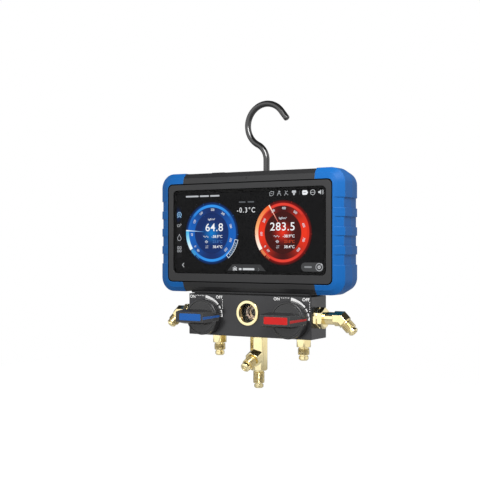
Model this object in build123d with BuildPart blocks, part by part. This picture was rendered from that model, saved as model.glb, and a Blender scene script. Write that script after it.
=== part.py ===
"""Digital refrigerant manifold gauge: a tablet head on a two-valve manifold, hung from a swivel hook.

The origin is where the hook bears on what it hangs from. +Z is up, +X is the high-pressure side and the
screen faces -Y. All sizes are in millimetres.
"""

from math import asin, cos, degrees, radians, sin, sqrt
import os

from build123d import *

os.makedirs("parts", exist_ok=True)

# Clearances
skin_gap = 0.3  # between bodies that don't touch
seat_gap = 0.15  # round a piece that sits in a pocket of its own body
running_gap = 0.05  # radial, round a turning shaft
thread_gap = 0.03  # radial, between a thread and its hole

# Hook
hook_wire = 6.0
hook_radius = 20.8
hook_tip_angle = 38.0
hook_tip_length = 10.8
hook_neck_angle = 63.5
hook_above_head = 64.95
hook_behind_front = 39.0
hook_clip_diameter = 10.0
hook_clip_thickness = 1.2
hook_clip_groove = 0.6
hook_end_length = 3.0

# Screen and the housing round it
screen_width = 165.5
screen_height = 80.3
screen_corner = 4.5
glass_thickness = 1.8
mask_thickness = 0.2
panel_thickness = 2.6
bezel_side = 6.2
bezel_top = 6.25
bezel_bottom = 8.35
bezel_corner = 5.0
rim_side = 9.75
rim_top = 9.9
rim_bottom = 8.9
crease_side = 6.5
crease_edge = 4.5
crease_depth = 1.2
shoulder_depth = 5.0
waist_depth = 20.0
head_depth = 36.5
head_corner = 14.0
back_taper = 2.6
split_depth = 19.0
wall = 3.0
seam_half_width = 71.2
indicator_diameter = 1.4
indicator_drop = 6.7
indicator_length = 5.0

# Bumper sides
bumper_proud = 0.6
rib_count = 4
rib_pitch = 17.1
rib_gap = 9.3
rib_depth = 1.1

# Boards inside the head
board_width = 124.0
board_height = 62.0
board_thickness = 1.6
board_depth = 11.0
board_hole = 2.4
chip_pitch = 34.0
chip_side = 14.0
chip_height = 1.4
post_diameter = 6.0
post_spacing_x = 112.0
post_spacing_z = 52.0
battery_width = 92.0
battery_height = 36.0
battery_drop = 22.5
battery_thickness = 9.0

# Case screws
case_screw_diameter = 3.0
case_screw_length = 20.0
case_screw_head = 5.6
case_screw_head_height = 2.2
case_screw_sink = 2.6
case_screw_spacing_x = 128.0
case_screw_inset = 5.0
case_boss = 7.6

# Rear column that holds the hook
column_width = 20.0
column_depth = 10.5
column_height = 58.0
column_inside = 3.5
bush_diameter = 12.0
bush_length = 22.0
bush_flange_diameter = 15.0
bush_flange = 1.5

# Charging socket and its rubber flap
usb_offset = -36.5
usb_depth = 12.0
usb_length = 9.0
usb_width = 3.3
usb_height = 7.0
usb_skin = 0.35
usb_drop = 2.2
flap_length = 13.0
flap_width = 5.6
flap_recess = 0.6
flap_proud = 0.7
flap_barrel = 1.6
flap_lip = 0.9

# Manifold block and the screws that hold it to the head
saddle_thickness = 1.4
saddle_side_inset = 2.7
saddle_front_inset = 0.6
gasket_thickness = 0.8
gasket_inset = 2.0
block_width = 132.6
block_height = 39.3
block_depth = 30.9
block_front = 3.4
block_edge = 0.5
tie_screw_diameter = 4.0
tie_screw_head = 7.0
tie_screw_head_height = 4.0
tie_screw_sink = 10.0
tie_screw_reach = 8.0
tie_screw_spacing = 44.0
tie_screw_front = 5.5
tie_screw_back = 23.0

# Sight glass
sight_drop = 16.9
sight_outer = 23.8
sight_inner = 18.2
sight_proud = 1.5
sight_thread = 20.6
sight_thread_length = 4.0
lens_thickness = 3.0
lens_seal = 1.0
sight_chamber = 14.0
sight_depth = 12.0

# Ball valves
valve_spacing = 92.8
valve_drop = 21.7
chamber_diameter = 20.0
chamber_depth = 22.1
ball_diameter = 15.0
ball_behind_front = 13.6
passage_diameter = 6.0
link_diameter = 5.0
link_overrun = 1.0
stem_diameter = 8.0
stem_flats = 6.4
stem_collar_diameter = 10.6
stem_collar = 1.5
stem_end = 8.0
tongue_thickness = 2.6
tongue_width = 8.0
ball_slot_depth = 2.0
gland_thread = 22.0
gland_depth = 4.0
gland_hex = 19.0
gland_head = 2.0
stem_seal_diameter = 12.0
stem_seal_thickness = 2.2
seat_diameter = 11.0
seat_reach = 12.0
seat_gap_to_ball = 0.1
sensor_diameter = 12.0
sensor_depth = 9.0
sensor_above = 10.0
sensor_bore = 2.0

# Knobs
knob_diameter = 34.4
knob_front = 9.4
knob_standoff = 0.5
knob_rim = 3.4
knob_face = 2.6
knob_edge = 1.3
knob_hub = 13.0
hub_above_block = 2.6
groove_diameter = 30.0
groove_width = 0.8
groove_depth = 0.6
lever_reach = 23.0
lever_front = 18.2
lever_under = 10.6
lever_height = 9.6
lever_base_height = 14.5
lever_end_height = 11.0
lever_end_length = 6.0
lever_corner = 2.0
lever_bend = 7.5
lever_shoulder_height = 10.4
lever_tail = 17.4
lever_tail_height = 5.0
lever_tail_front = 3.9
badge_start = -18.9
badge_length = 24.2
badge_height = 6.6
badge_corner = 1.0
badge_thickness = 0.8
badge_proud = 0.2
pointer_thickness = 0.8
pointer_start_height = 2.7
pointer_end_height = 1.8
pointer_start_rise = -0.8
pointer_end_rise = 1.0
knob_screw_diameter = 4.0
knob_screw_head = 7.0
knob_screw_head_height = 2.2
knob_screw_seat = 14.9
knob_screw_reach = 6.0
knob_turn = 90.0
stop_pin_diameter = 2.2
stop_pin_radius = 12.4
stop_pin_angle = 225.0
stop_pin_above = 5.5
stop_pin_below = 4.0

# Hose ports, with quarter-inch flare ends
flare_thread = 11.1
flare_root = 8.6
flare_neck = 1.1
flare_groove = 1.5
flare_nose = 9.0
flare_nose_chamfer = 1.2
flare_bore = 5.0
flare_lead = 0.5
spigot_diameter = 10.0
spigot_length = 6.0
hex_edge = 0.7
port_spacing = 92.4
port_behind_front = 24.3
port_hex = 13.0
port_hex_length = 9.2
port_thread_length = 6.0
port_nose_length = 3.8

# Side elbows
elbow_drop = 19.6
elbow_behind_front = 10.6
nut_hex = 17.0
nut_length = 9.3
nut_groove = 1.3
nut_groove_diameter = 16.4
nut_groove_place = 3.5
nut_turns = {"left": 30.0, "right": 0.0}
elbow_hex = 12.0
elbow_tube = 11.5
elbow_shanks = {"left": 0.4, "right": 9.3}
elbow_body_length = 7.0
elbow_stub = 5.2
elbow_thread_length = 6.6
elbow_nose_length = 3.0
elbow_leg_angle = 45.0

# Centre fitting
tee_behind_front = 20.6
tee_hex = 14.6
tee_length = 33.3
tee_turn = -6.0
tee_thread_length = 10.9
tee_nose_length = 3.3
tee_branch_hex = 14.3
tee_branch_drop = 17.6
tee_branch_angle = 27.0
tee_branch_stub = 12.0
tee_branch_thread = 7.6
tee_branch_nose = 3.8

# Worked-out places
front_y = -hook_behind_front
head_top = -hook_above_head
head_width = screen_width + 2 * (bezel_side + rim_side)
head_height = screen_height + bezel_top + bezel_bottom + rim_top + rim_bottom
head_bottom = head_top - head_height
head_z = (head_top + head_bottom) / 2
bezel_width = screen_width + 2 * bezel_side
bezel_height = screen_height + bezel_top + bezel_bottom
bezel_z = head_top - rim_top - bezel_height / 2
screen_z = head_top - rim_top - bezel_top - screen_height / 2
back_y = front_y + head_depth
split_y = front_y + split_depth
ledge_y = front_y + glass_thickness
inside_front_y = ledge_y + wall
inside_back_y = back_y - wall
board_y = front_y + board_depth
block_top = head_bottom - saddle_thickness - gasket_thickness
block_bottom = block_top - block_height
block_y = front_y + block_front
block_back = block_y + block_depth
valve_x = valve_spacing / 2
valve_z = block_top - valve_drop
ball_y = block_y + ball_behind_front
sight_z = block_top - sight_drop
elbow_x = block_width / 2
elbow_y = block_y + elbow_behind_front
elbow_z = block_top - elbow_drop
port_x = port_spacing / 2
port_y = block_y + port_behind_front
tee_y = block_y + tee_behind_front
column_top = head_top - bush_flange
bush_end = column_top - bush_length
sides = {"left": -1, "right": 1}


def keep(piece, name):
    """Name a finished piece and write its file."""
    piece.label = name
    export_step(piece, "parts/" + name + ".step")


def facing_front(y, x=0.0, z=0.0):
    """A sketch plane seen from the front: local x is +X, local y is +Z, and its normal is -Y."""
    return Plane(origin=(x, y, z), x_dir=(1, 0, 0), z_dir=(0, -1, 0))


def facing_side(x, y=0.0, z=0.0):
    """A sketch plane with its normal along +X: local x is +Y and local y is +Z."""
    return Plane(origin=(x, y, z), x_dir=(0, 1, 0), z_dir=(1, 0, 0))


def rod(x, y, z, diameter, length, axis):
    """A solid rod from a point along an axis, to be added or taken away."""
    with BuildPart() as bar:
        with BuildSketch(Plane(origin=(x, y, z), z_dir=axis)):
            Circle(diameter / 2)
        extrude(amount=length)
    return bar.part


def head_form(grow=0.0):
    """The outer form of the head: a creased front rim, straight sides and a back that tapers in."""
    rings = (
        (front_y, bezel_z, bezel_width + 1, bezel_height + 1, bezel_corner),
        (
            front_y + crease_depth,
            head_z,
            head_width - 2 * crease_side + 2 * grow,
            head_height - 2 * crease_edge + 2 * grow,
            head_corner - crease_edge,
        ),
        (front_y + shoulder_depth, head_z, head_width + 2 * grow, head_height + 2 * grow, head_corner),
        (front_y + waist_depth, head_z, head_width + 2 * grow, head_height + 2 * grow, head_corner),
        (
            back_y,
            head_z,
            head_width + 2 * grow - 2 * back_taper,
            head_height + 2 * grow - 2 * back_taper,
            head_corner - back_taper / 2,
        ),
    )
    with BuildPart() as form:
        for y, z, width, height, corner in rings:
            with BuildSketch(facing_front(y, 0, z)):
                RectangleRounded(width, height, corner)
        loft(ruled=True)
    return form.part


def slab(width, height, z, near_y, far_y, corner=0.0):
    """A plain or round-cornered block between two depths."""
    with BuildPart() as block:
        with BuildSketch(facing_front(far_y, 0, z)):
            if corner > 0:
                RectangleRounded(width, height, corner)
            else:
                Rectangle(width, height)
        extrude(amount=far_y - near_y)
    return block.part


case_screw_places = [
    (side * case_screw_spacing_x / 2, bezel_z + up * (bezel_height / 2 - case_screw_inset))
    for side in (-1, 1)
    for up in (-1, 1)
]
post_places = [
    (side * post_spacing_x / 2, bezel_z + up * post_spacing_z / 2) for side in (-1, 1) for up in (-1, 1)
]
tie_screw_places = [
    (side * tie_screw_spacing / 2, block_y + depth)
    for side in (-1, 1)
    for depth in (tie_screw_front, tie_screw_back)
]


def posts(places, near_y, far_y, diameter, hole):
    """Round posts that stand between two depths, each with a hole down its middle."""
    with BuildPart() as group:
        with BuildSketch(facing_front(far_y)):
            with Locations(*places):
                Circle(diameter / 2)
                Circle(hole / 2, mode=Mode.SUBTRACT)
        extrude(amount=far_y - near_y)
    return group.part


def tie_screw_holes():
    """The blind holes in the bottom of the head."""
    with BuildPart() as holes:
        with BuildSketch(Plane.XY.offset(head_bottom)):
            with Locations(*tie_screw_places):
                Circle(tie_screw_diameter / 2 + thread_gap)
        extrude(amount=tie_screw_reach + seat_gap)
    return holes.part


def sensor_holes():
    """The ways by which the pressure sensors reach into the head."""
    with BuildPart() as holes:
        with BuildSketch(Plane.XY.offset(head_bottom - saddle_thickness)):
            with Locations((-valve_x, ball_y), (valve_x, ball_y)):
                Circle(sensor_diameter / 2 + seat_gap)
        extrude(amount=saddle_thickness + rim_bottom + wall)
    return holes.part


def beyond_seam(gap):
    """Everything between the two seams of the bumpers, as wide as the seams plus a gap."""
    return slab(2 * (seam_half_width + gap), head_height + 20, head_z, front_y - 1, back_y + 1)


whole_head = head_form()
between_seams = beyond_seam(0)
bezel_slab = slab(bezel_width, bezel_height, bezel_z, front_y, back_y, bezel_corner)
front_half = slab(head_width + 20, head_height + 20, head_z, front_y - 1, split_y)
rear_half = slab(head_width + 20, head_height + 20, head_z, split_y, back_y + 1)
with BuildPart() as housing:
    add(whole_head)
    add(between_seams, mode=Mode.INTERSECT)
    add(bezel_slab)
hollow = slab(
    bezel_width - 2 * wall, bezel_height - 2 * wall, bezel_z, inside_front_y, inside_back_y, bezel_corner
)
front_bosses = posts(case_screw_places, inside_front_y - 1, split_y, case_boss, case_screw_diameter)
rear_bosses = posts(case_screw_places, split_y, inside_back_y + 1, case_boss, case_screw_diameter + 0.4)
board_posts = posts(post_places, board_y + board_thickness, inside_back_y + 1, post_diameter, 2.0)
tie_holes = tie_screw_holes()
sensor_ways = sensor_holes()

# Front bezel: the front half of the housing, with the recess for the glass
with BuildPart() as front_bezel:
    add(housing.part)
    add(front_half, mode=Mode.INTERSECT)
    add(hollow, mode=Mode.SUBTRACT)
    with BuildSketch(facing_front(ledge_y, 0, screen_z)):
        RectangleRounded(screen_width + 2 * seat_gap, screen_height + 2 * seat_gap, screen_corner)
    extrude(amount=glass_thickness + 1, mode=Mode.SUBTRACT)
    with BuildSketch(facing_front(split_y, 0, screen_z)):
        Rectangle(screen_width - 2 * wall, screen_height - 2 * wall)
    extrude(amount=split_depth, mode=Mode.SUBTRACT)
    add(front_bosses)
    with Locations((0, front_y, head_top - indicator_drop)):
        Cylinder(
            indicator_diameter / 2 + 0.05, 2 * indicator_length, rotation=(90, 0, 0), mode=Mode.SUBTRACT
        )
    with Locations((usb_offset, front_y + usb_depth, head_top)):
        Box(usb_length + 0.4, usb_width + 0.4, 2 * (rim_top + wall + 1), mode=Mode.SUBTRACT)
    with Locations((usb_offset - flap_barrel / 4, front_y + usb_depth, head_top)):
        Box(
            flap_length + flap_barrel / 2 + 2 * skin_gap,
            flap_width + 2 * skin_gap,
            2 * (flap_barrel / 2 + skin_gap),
            mode=Mode.SUBTRACT,
        )
    add(tie_holes, mode=Mode.SUBTRACT)
    add(sensor_ways, mode=Mode.SUBTRACT)
keep(front_bezel.part, "front_bezel")

# Rear cover: the back half of the housing, with the column for the hook and the board's posts
with BuildPart() as rear_cover:
    add(housing.part)
    add(rear_half, mode=Mode.INTERSECT)
    add(hollow, mode=Mode.SUBTRACT)
    with BuildSketch(facing_front(back_y + column_depth, 0, column_top - column_height / 2)):
        RectangleRounded(column_width, column_height, 4)
    extrude(amount=column_depth + wall + column_inside)
    chamfer(rear_cover.faces().sort_by(Axis.Y)[-1].edges(), 2.0)
    add(rear_bosses)
    add(board_posts)
    for x, z in case_screw_places:
        with Locations((x, back_y, z)):
            Cylinder(case_screw_diameter / 2 + 0.2, 3 * wall, rotation=(90, 0, 0), mode=Mode.SUBTRACT)
            Cylinder(case_screw_head / 2 + 0.2, 2 * case_screw_sink, rotation=(90, 0, 0), mode=Mode.SUBTRACT)
    with BuildSketch(Plane.XY.offset(column_top - column_height - 1)):
        Circle(bush_diameter / 2 + seat_gap / 3)
    extrude(amount=column_height + 2 + bush_flange, mode=Mode.SUBTRACT)
    add(tie_holes, mode=Mode.SUBTRACT)
    add(sensor_ways, mode=Mode.SUBTRACT)
keep(rear_cover.part, "rear_cover")

# Bumpers: rubber ends that wrap the housing, with stepped blocks down the side
bumper_form = head_form(bumper_proud)
rib_floor = head_form(bumper_proud - rib_depth)
bezel_hole = slab(
    bezel_width + 2 * seat_gap,
    bezel_height + 2 * seat_gap,
    bezel_z,
    front_y - 1,
    back_y + 1,
    bezel_corner,
)
middle = beyond_seam(seat_gap)
with BuildPart() as rib_cuts:
    with BuildSketch(facing_side(seam_half_width, front_y + head_depth / 2 + crease_depth, head_z)):
        with GridLocations(0, rib_pitch, 1, rib_count):
            Rectangle(head_depth + 2, rib_gap)
    extrude(amount=head_width)
    add(rib_floor, mode=Mode.SUBTRACT)

with BuildPart() as bumper_right:
    add(bumper_form)
    add(bezel_hole, mode=Mode.SUBTRACT)
    add(middle, mode=Mode.SUBTRACT)
    add(rib_cuts.part, mode=Mode.SUBTRACT)
    split(bisect_by=Plane.YZ, keep=Keep.TOP)
keep(bumper_right.part, "bumper_right")

with BuildPart() as bumper_left:
    mirror(bumper_right.part, about=Plane.YZ)
keep(bumper_left.part, "bumper_left")

# Glass, the black adhesive frame under its edge, and the display behind it
panel_width = screen_width - 2 * (wall + seat_gap)
panel_height = screen_height - 2 * (wall + seat_gap)
with BuildPart() as screen_glass:
    with BuildSketch(facing_front(ledge_y - mask_thickness, 0, screen_z)):
        RectangleRounded(screen_width, screen_height, screen_corner)
    extrude(amount=glass_thickness - mask_thickness)
keep(screen_glass.part, "screen_glass")

with BuildPart() as screen_mask:
    with BuildSketch(facing_front(ledge_y, 0, screen_z)):
        RectangleRounded(screen_width, screen_height, screen_corner)
        Rectangle(panel_width, panel_height, mode=Mode.SUBTRACT)
    extrude(amount=mask_thickness)
keep(screen_mask.part, "screen_mask")

with BuildPart() as display_panel:
    with BuildSketch(facing_front(ledge_y + panel_thickness, 0, screen_z)):
        Rectangle(panel_width, panel_height)
    extrude(amount=panel_thickness)
keep(display_panel.part, "display_panel")

# Main board with its chips and the battery behind it
with BuildPart() as main_board:
    with BuildSketch(facing_front(board_y + board_thickness, 0, bezel_z)):
        Rectangle(board_width, board_height)
        with Locations(*[(x, z - bezel_z) for x, z in post_places]):
            Circle(board_hole / 2, mode=Mode.SUBTRACT)
    extrude(amount=board_thickness)
    with BuildSketch(facing_front(board_y, 0, bezel_z)):
        with GridLocations(chip_pitch, 0, 3, 1):
            Rectangle(chip_side, chip_side)
    extrude(amount=chip_height)
keep(main_board.part, "main_board")

with BuildPart() as battery_pack:
    with BuildSketch(facing_front(inside_back_y, 0, bezel_z - battery_drop)):
        RectangleRounded(battery_width, battery_height, 3)
    extrude(amount=battery_thickness)
keep(battery_pack.part, "battery_pack")

with BuildPart() as case_screws:
    for x, z in case_screw_places:
        head_y = back_y - case_screw_sink + case_screw_head_height
        with BuildSketch(facing_front(head_y, x, z)):
            Circle(case_screw_head / 2)
        extrude(amount=case_screw_head_height)
        with BuildSketch(facing_front(head_y - case_screw_head_height, x, z)):
            Circle(case_screw_diameter / 2)
        extrude(amount=case_screw_length)
keep(case_screws.part, "case_screws")

with BuildPart() as indicator_lens:
    with BuildSketch(facing_front(front_y + indicator_length, 0, head_top - indicator_drop)):
        Circle(indicator_diameter / 2)
    extrude(amount=indicator_length - 1.0)
keep(indicator_lens.part, "indicator_lens")

# Charging socket and its flap
with BuildPart() as usb_socket:
    with BuildSketch(Plane.XY.offset(head_top - usb_drop - usb_height)):
        with Locations((usb_offset, front_y + usb_depth)):
            RectangleRounded(usb_length, usb_width, usb_width / 2 - 0.05)
    extrude(amount=usb_height)
    with BuildSketch(Plane.XY.offset(head_top - usb_drop)):
        with Locations((usb_offset, front_y + usb_depth)):
            RectangleRounded(
                usb_length - 2 * usb_skin, usb_width - 2 * usb_skin, usb_width / 2 - usb_skin - 0.05
            )
            Rectangle(usb_length - 2.6, 0.7, mode=Mode.SUBTRACT)
    extrude(amount=-(usb_height - 1.0), mode=Mode.SUBTRACT)
keep(usb_socket.part, "usb_socket")

with BuildPart() as usb_flap:
    with BuildSketch(Plane.XY.offset(head_top - flap_recess)):
        with Locations((usb_offset, front_y + usb_depth)):
            Rectangle(flap_length, flap_width)
    extrude(amount=flap_recess + flap_proud)
    chamfer(usb_flap.faces().sort_by(Axis.Z)[-1].edges(), 0.3)
    with Locations((usb_offset - flap_length / 2, front_y + usb_depth, head_top)):
        Cylinder(flap_barrel / 2, flap_width, rotation=(90, 0, 0))
    with BuildSketch(Plane.XY.offset(head_top - flap_recess)):
        with Locations((usb_offset, front_y + usb_depth)):
            RectangleRounded(usb_length - 2.4, usb_width - 1.4, 0.6)
    extrude(amount=-flap_lip)
keep(usb_flap.part, "usb_flap")

# Hook: round wire bent into a hook over a straight shank, held in a flanged bush by a clip
neck_cos = cos(radians(hook_neck_angle))
neck_sin = sin(radians(hook_neck_angle))
tip_cos = cos(radians(hook_tip_angle))
tip_sin = sin(radians(hook_tip_angle))
hook_neck_radius = hook_radius * neck_cos / (1 - neck_cos)
hook_circle_z = hook_wire / 2 - hook_radius
neck_start_z = hook_circle_z - hook_radius * neck_sin
neck_end = (0, neck_start_z - hook_neck_radius * neck_sin)
neck_start = (-hook_radius * neck_cos, neck_start_z)
tip_start = (hook_radius * tip_cos, hook_circle_z + hook_radius * tip_sin)
tip_end = (tip_start[0] + hook_tip_length * tip_sin, tip_start[1] - hook_tip_length * tip_cos)
clip_top = bush_end - skin_gap
clip_bottom = clip_top - hook_clip_thickness
shank_end = clip_bottom - hook_end_length

with BuildPart() as hook_bush:
    with BuildSketch(Plane.XY.offset(bush_end)):
        Circle(bush_diameter / 2)
    extrude(amount=bush_length)
    with BuildSketch(Plane.XY.offset(column_top)):
        Circle(bush_flange_diameter / 2)
    extrude(amount=bush_flange)
    chamfer(hook_bush.faces().sort_by(Axis.Z)[-1].edges(), 0.4)
    with Locations((0, 0, bush_end)):
        Cylinder(hook_wire / 2 + running_gap, 3 * bush_length, mode=Mode.SUBTRACT)
keep(hook_bush.part, "hook_bush")

with BuildPart() as hook:
    with BuildLine(Plane.XZ):
        Line((0, shank_end), neck_end)
        JernArc(start=neck_end, tangent=(0, 1), radius=hook_neck_radius, arc_size=hook_neck_angle)
        ThreePointArc(neck_start, (0, hook_wire / 2), tip_start)
        Line(tip_start, tip_end)
    with BuildSketch(Plane.XY.offset(shank_end)):
        Circle(hook_wire / 2)
    sweep()
    fillet(hook.faces().filter_by(GeomType.PLANE).sort_by(Axis.X)[-1].edges(), hook_wire / 4)
    chamfer(hook.faces().sort_by(Axis.Z)[0].edges(), hook_wire / 10)
    with BuildSketch(Plane.XY.offset(clip_bottom)):
        Circle(hook_wire)
        Circle(hook_wire / 2 - hook_clip_groove, mode=Mode.SUBTRACT)
    extrude(amount=hook_clip_thickness, mode=Mode.SUBTRACT)
keep(hook.part, "hook")

with BuildPart() as hook_clip:
    with BuildSketch(Plane.XY.offset(clip_bottom)):
        Circle(hook_clip_diameter / 2)
        Circle(hook_wire / 2 - hook_clip_groove, mode=Mode.SUBTRACT)
        with Locations((0, hook_clip_diameter / 2)):
            Rectangle(hook_wire / 2, hook_clip_diameter, mode=Mode.SUBTRACT)
    extrude(amount=hook_clip_thickness)
keep(hook_clip.part, "hook_clip")

# Saddle plate between the head and the block, whose top follows the tapered back of the head
saddle_width = block_width - 2 * saddle_side_inset
saddle_front = block_y + saddle_front_inset
saddle_back = block_back - saddle_front_inset
waist_y = front_y + waist_depth
back_rise = back_taper * (saddle_back - waist_y) / (back_y - waist_y)
gasket_top = head_bottom - saddle_thickness
block_screws_hole = tie_screw_diameter / 2 + seat_gap

with BuildPart() as saddle_plate:
    with BuildSketch(facing_side(-saddle_width / 2)):
        with BuildLine():
            Polyline(
                (saddle_front, gasket_top),
                (saddle_back, gasket_top),
                (saddle_back, head_bottom + back_rise),
                (waist_y, head_bottom),
                (saddle_front, head_bottom),
                close=True,
            )
        make_face()
    extrude(amount=saddle_width)
    with BuildSketch(Plane.XY.offset(gasket_top)):
        with Locations(*tie_screw_places):
            Circle(block_screws_hole)
    extrude(amount=saddle_thickness + back_taper, mode=Mode.SUBTRACT)
    add(sensor_ways, mode=Mode.SUBTRACT)
keep(saddle_plate.part, "saddle_plate")

with BuildPart() as saddle_gasket:
    with BuildSketch(Plane.XY.offset(block_top)):
        with Locations((0, block_y + block_depth / 2)):
            Rectangle(
                saddle_width - 2 * gasket_inset,
                block_depth - 2 * saddle_front_inset - 2 * gasket_inset,
            )
        with Locations(*tie_screw_places):
            Circle(block_screws_hole, mode=Mode.SUBTRACT)
        with Locations((-valve_x, ball_y), (valve_x, ball_y)):
            Circle(sensor_diameter / 2 + seat_gap, mode=Mode.SUBTRACT)
    extrude(amount=gasket_thickness)
keep(saddle_gasket.part, "saddle_gasket")

# Manifold block: one chamber per valve, a gallery between their seats, and a way to every port
chamber_end = block_y + chamber_depth
link_length = port_y - chamber_end + 2 * link_overrun
gallery_half = valve_x - seat_reach
riser_height = valve_z + passage_diameter - block_bottom
ways = [
    rod(-gallery_half, ball_y, valve_z, passage_diameter, 2 * gallery_half, (1, 0, 0)),
    rod(0, ball_y, valve_z, link_diameter, tee_y - ball_y + link_overrun, (0, 1, 0)),
    rod(0, tee_y, block_bottom, passage_diameter, riser_height, (0, 0, 1)),
    rod(0, tee_y, block_bottom, spigot_diameter + 2 * thread_gap, spigot_length, (0, 0, 1)),
    rod(0, block_y, sight_z, sight_chamber, sight_depth, (0, 1, 0)),
    rod(0, block_y, sight_z, sight_thread, sight_thread_length + lens_thickness + lens_seal, (0, 1, 0)),
]
for sign in sides.values():
    x = sign * valve_x
    outer_x = sign * elbow_x
    ways += [
        rod(x, block_y, valve_z, chamber_diameter, chamber_depth, (0, 1, 0)),
        rod(x, block_y, valve_z, gland_thread, gland_depth, (0, 1, 0)),
        rod(x, chamber_end - link_overrun, valve_z, link_diameter, link_length, (0, 1, 0)),
        rod(sign * gallery_half, ball_y, valve_z, seat_diameter, seat_reach, (sign, 0, 0)),
        rod(x, ball_y, valve_z, passage_diameter, block_top - valve_z, (0, 0, 1)),
        rod(x, ball_y, block_top, sensor_diameter, sensor_depth, (0, 0, -1)),
        rod(outer_x, elbow_y, elbow_z, passage_diameter, elbow_x - valve_x, (-sign, 0, 0)),
        rod(outer_x, elbow_y, elbow_z, spigot_diameter, spigot_length, (-sign, 0, 0)),
        rod(sign * port_x, port_y, block_bottom, passage_diameter, riser_height, (0, 0, 1)),
        rod(sign * port_x, port_y, block_bottom, spigot_diameter, spigot_length, (0, 0, 1)),
        rod(
            x + stop_pin_radius * cos(radians(stop_pin_angle)),
            block_y,
            valve_z + stop_pin_radius * sin(radians(stop_pin_angle)),
            stop_pin_diameter,
            stop_pin_below,
            (0, 1, 0),
        ),
    ]

with BuildPart() as manifold_block:
    with BuildSketch(Plane.XY.offset(block_bottom)):
        with Locations((0, block_y + block_depth / 2)):
            Rectangle(block_width, block_depth)
    extrude(amount=block_height)
    chamfer(manifold_block.edges(), block_edge)
    add(ways, mode=Mode.SUBTRACT)
    with BuildSketch(Plane.XY.offset(block_bottom)):
        with Locations(*tie_screw_places):
            Circle(block_screws_hole)
    extrude(amount=block_height, mode=Mode.SUBTRACT)
    with BuildSketch(Plane.XY.offset(block_bottom)):
        with Locations(*tie_screw_places):
            Circle(tie_screw_head / 2 + skin_gap)
    extrude(amount=tie_screw_sink, mode=Mode.SUBTRACT)
keep(manifold_block.part, "manifold_block")

with BuildPart() as tie_screws:
    with BuildSketch(Plane.XY.offset(block_bottom + tie_screw_sink)):
        with Locations(*tie_screw_places):
            Circle(tie_screw_head / 2)
            RegularPolygon(tie_screw_diameter / 2, 6, mode=Mode.SUBTRACT)
    extrude(amount=-tie_screw_head_height)
    with BuildSketch(Plane.XY.offset(block_bottom + tie_screw_sink)):
        with Locations(*tie_screw_places):
            Circle(tie_screw_diameter / 2)
    extrude(amount=head_bottom + tie_screw_reach - block_bottom - tie_screw_sink)
keep(tie_screws.part, "tie_screws")

# Sight glass: a threaded ring over a lens and its seal
with BuildPart() as sight_ring:
    with BuildSketch(facing_front(block_y, 0, sight_z)):
        Circle(sight_outer / 2)
    extrude(amount=sight_proud)
    chamfer(sight_ring.faces().sort_by(Axis.Y)[0].edges(), sight_proud / 4)
    with BuildSketch(facing_front(block_y + sight_thread_length, 0, sight_z)):
        Circle(sight_thread / 2)
    extrude(amount=sight_thread_length)
    with BuildSketch(facing_front(block_y + sight_thread_length, 0, sight_z)):
        Circle(sight_inner / 2)
    extrude(amount=sight_thread_length + sight_proud, mode=Mode.SUBTRACT)
keep(sight_ring.part, "sight_ring")

lens_back = block_y + sight_thread_length + lens_thickness
with BuildPart() as sight_lens:
    with BuildSketch(facing_front(lens_back, 0, sight_z)):
        Circle(sight_thread / 2 - seat_gap)
    extrude(amount=lens_thickness)
keep(sight_lens.part, "sight_lens")

with BuildPart() as sight_seal:
    with BuildSketch(facing_front(lens_back + lens_seal, 0, sight_z)):
        Circle(sight_thread / 2 - seat_gap)
        Circle(sight_chamber / 2 + seat_gap, mode=Mode.SUBTRACT)
    extrude(amount=lens_seal)
keep(sight_seal.part, "sight_seal")


def hex_bar(across, length, turn):
    """A hexagonal bar along +Z from the origin, with its corners turned down at both ends."""
    with BuildPart() as bar:
        with BuildSketch(Plane.XY):
            RegularPolygon(across / 2, 6, major_radius=False, rotation=turn)
        extrude(amount=length)
        with BuildSketch(Plane.XZ):
            with BuildLine():
                Polyline(
                    (0, 0),
                    (across / 2, 0),
                    (across / sqrt(3), hex_edge),
                    (across / sqrt(3), length - hex_edge),
                    (across / 2, length),
                    (0, length),
                    close=True,
                )
            make_face()
        revolve(axis=Axis.Z, mode=Mode.INTERSECT)
    return bar.part


def flare_end(thread_length, nose_length):
    """The turned end of a hose port along +Z from the origin: neck, thread, groove and nose."""
    thread_end = flare_neck + thread_length
    groove_end = thread_end + flare_groove
    tip = groove_end + nose_length
    with BuildPart() as end:
        with BuildSketch(Plane.XZ):
            with BuildLine():
                Polyline(
                    (0, 0),
                    (flare_root / 2, 0),
                    (flare_root / 2, flare_neck),
                    (flare_thread / 2 - flare_lead, flare_neck),
                    (flare_thread / 2, flare_neck + flare_lead),
                    (flare_thread / 2, thread_end - flare_lead),
                    (flare_thread / 2 - flare_lead, thread_end),
                    (flare_root / 2 - flare_lead, thread_end),
                    (flare_root / 2 - flare_lead, groove_end),
                    (flare_nose / 2, groove_end),
                    (flare_nose / 2, tip - flare_nose_chamfer),
                    (flare_nose / 2 - flare_nose_chamfer, tip),
                    (0, tip),
                    close=True,
                )
            make_face()
        revolve(axis=Axis.Z)
    return end.part


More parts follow.
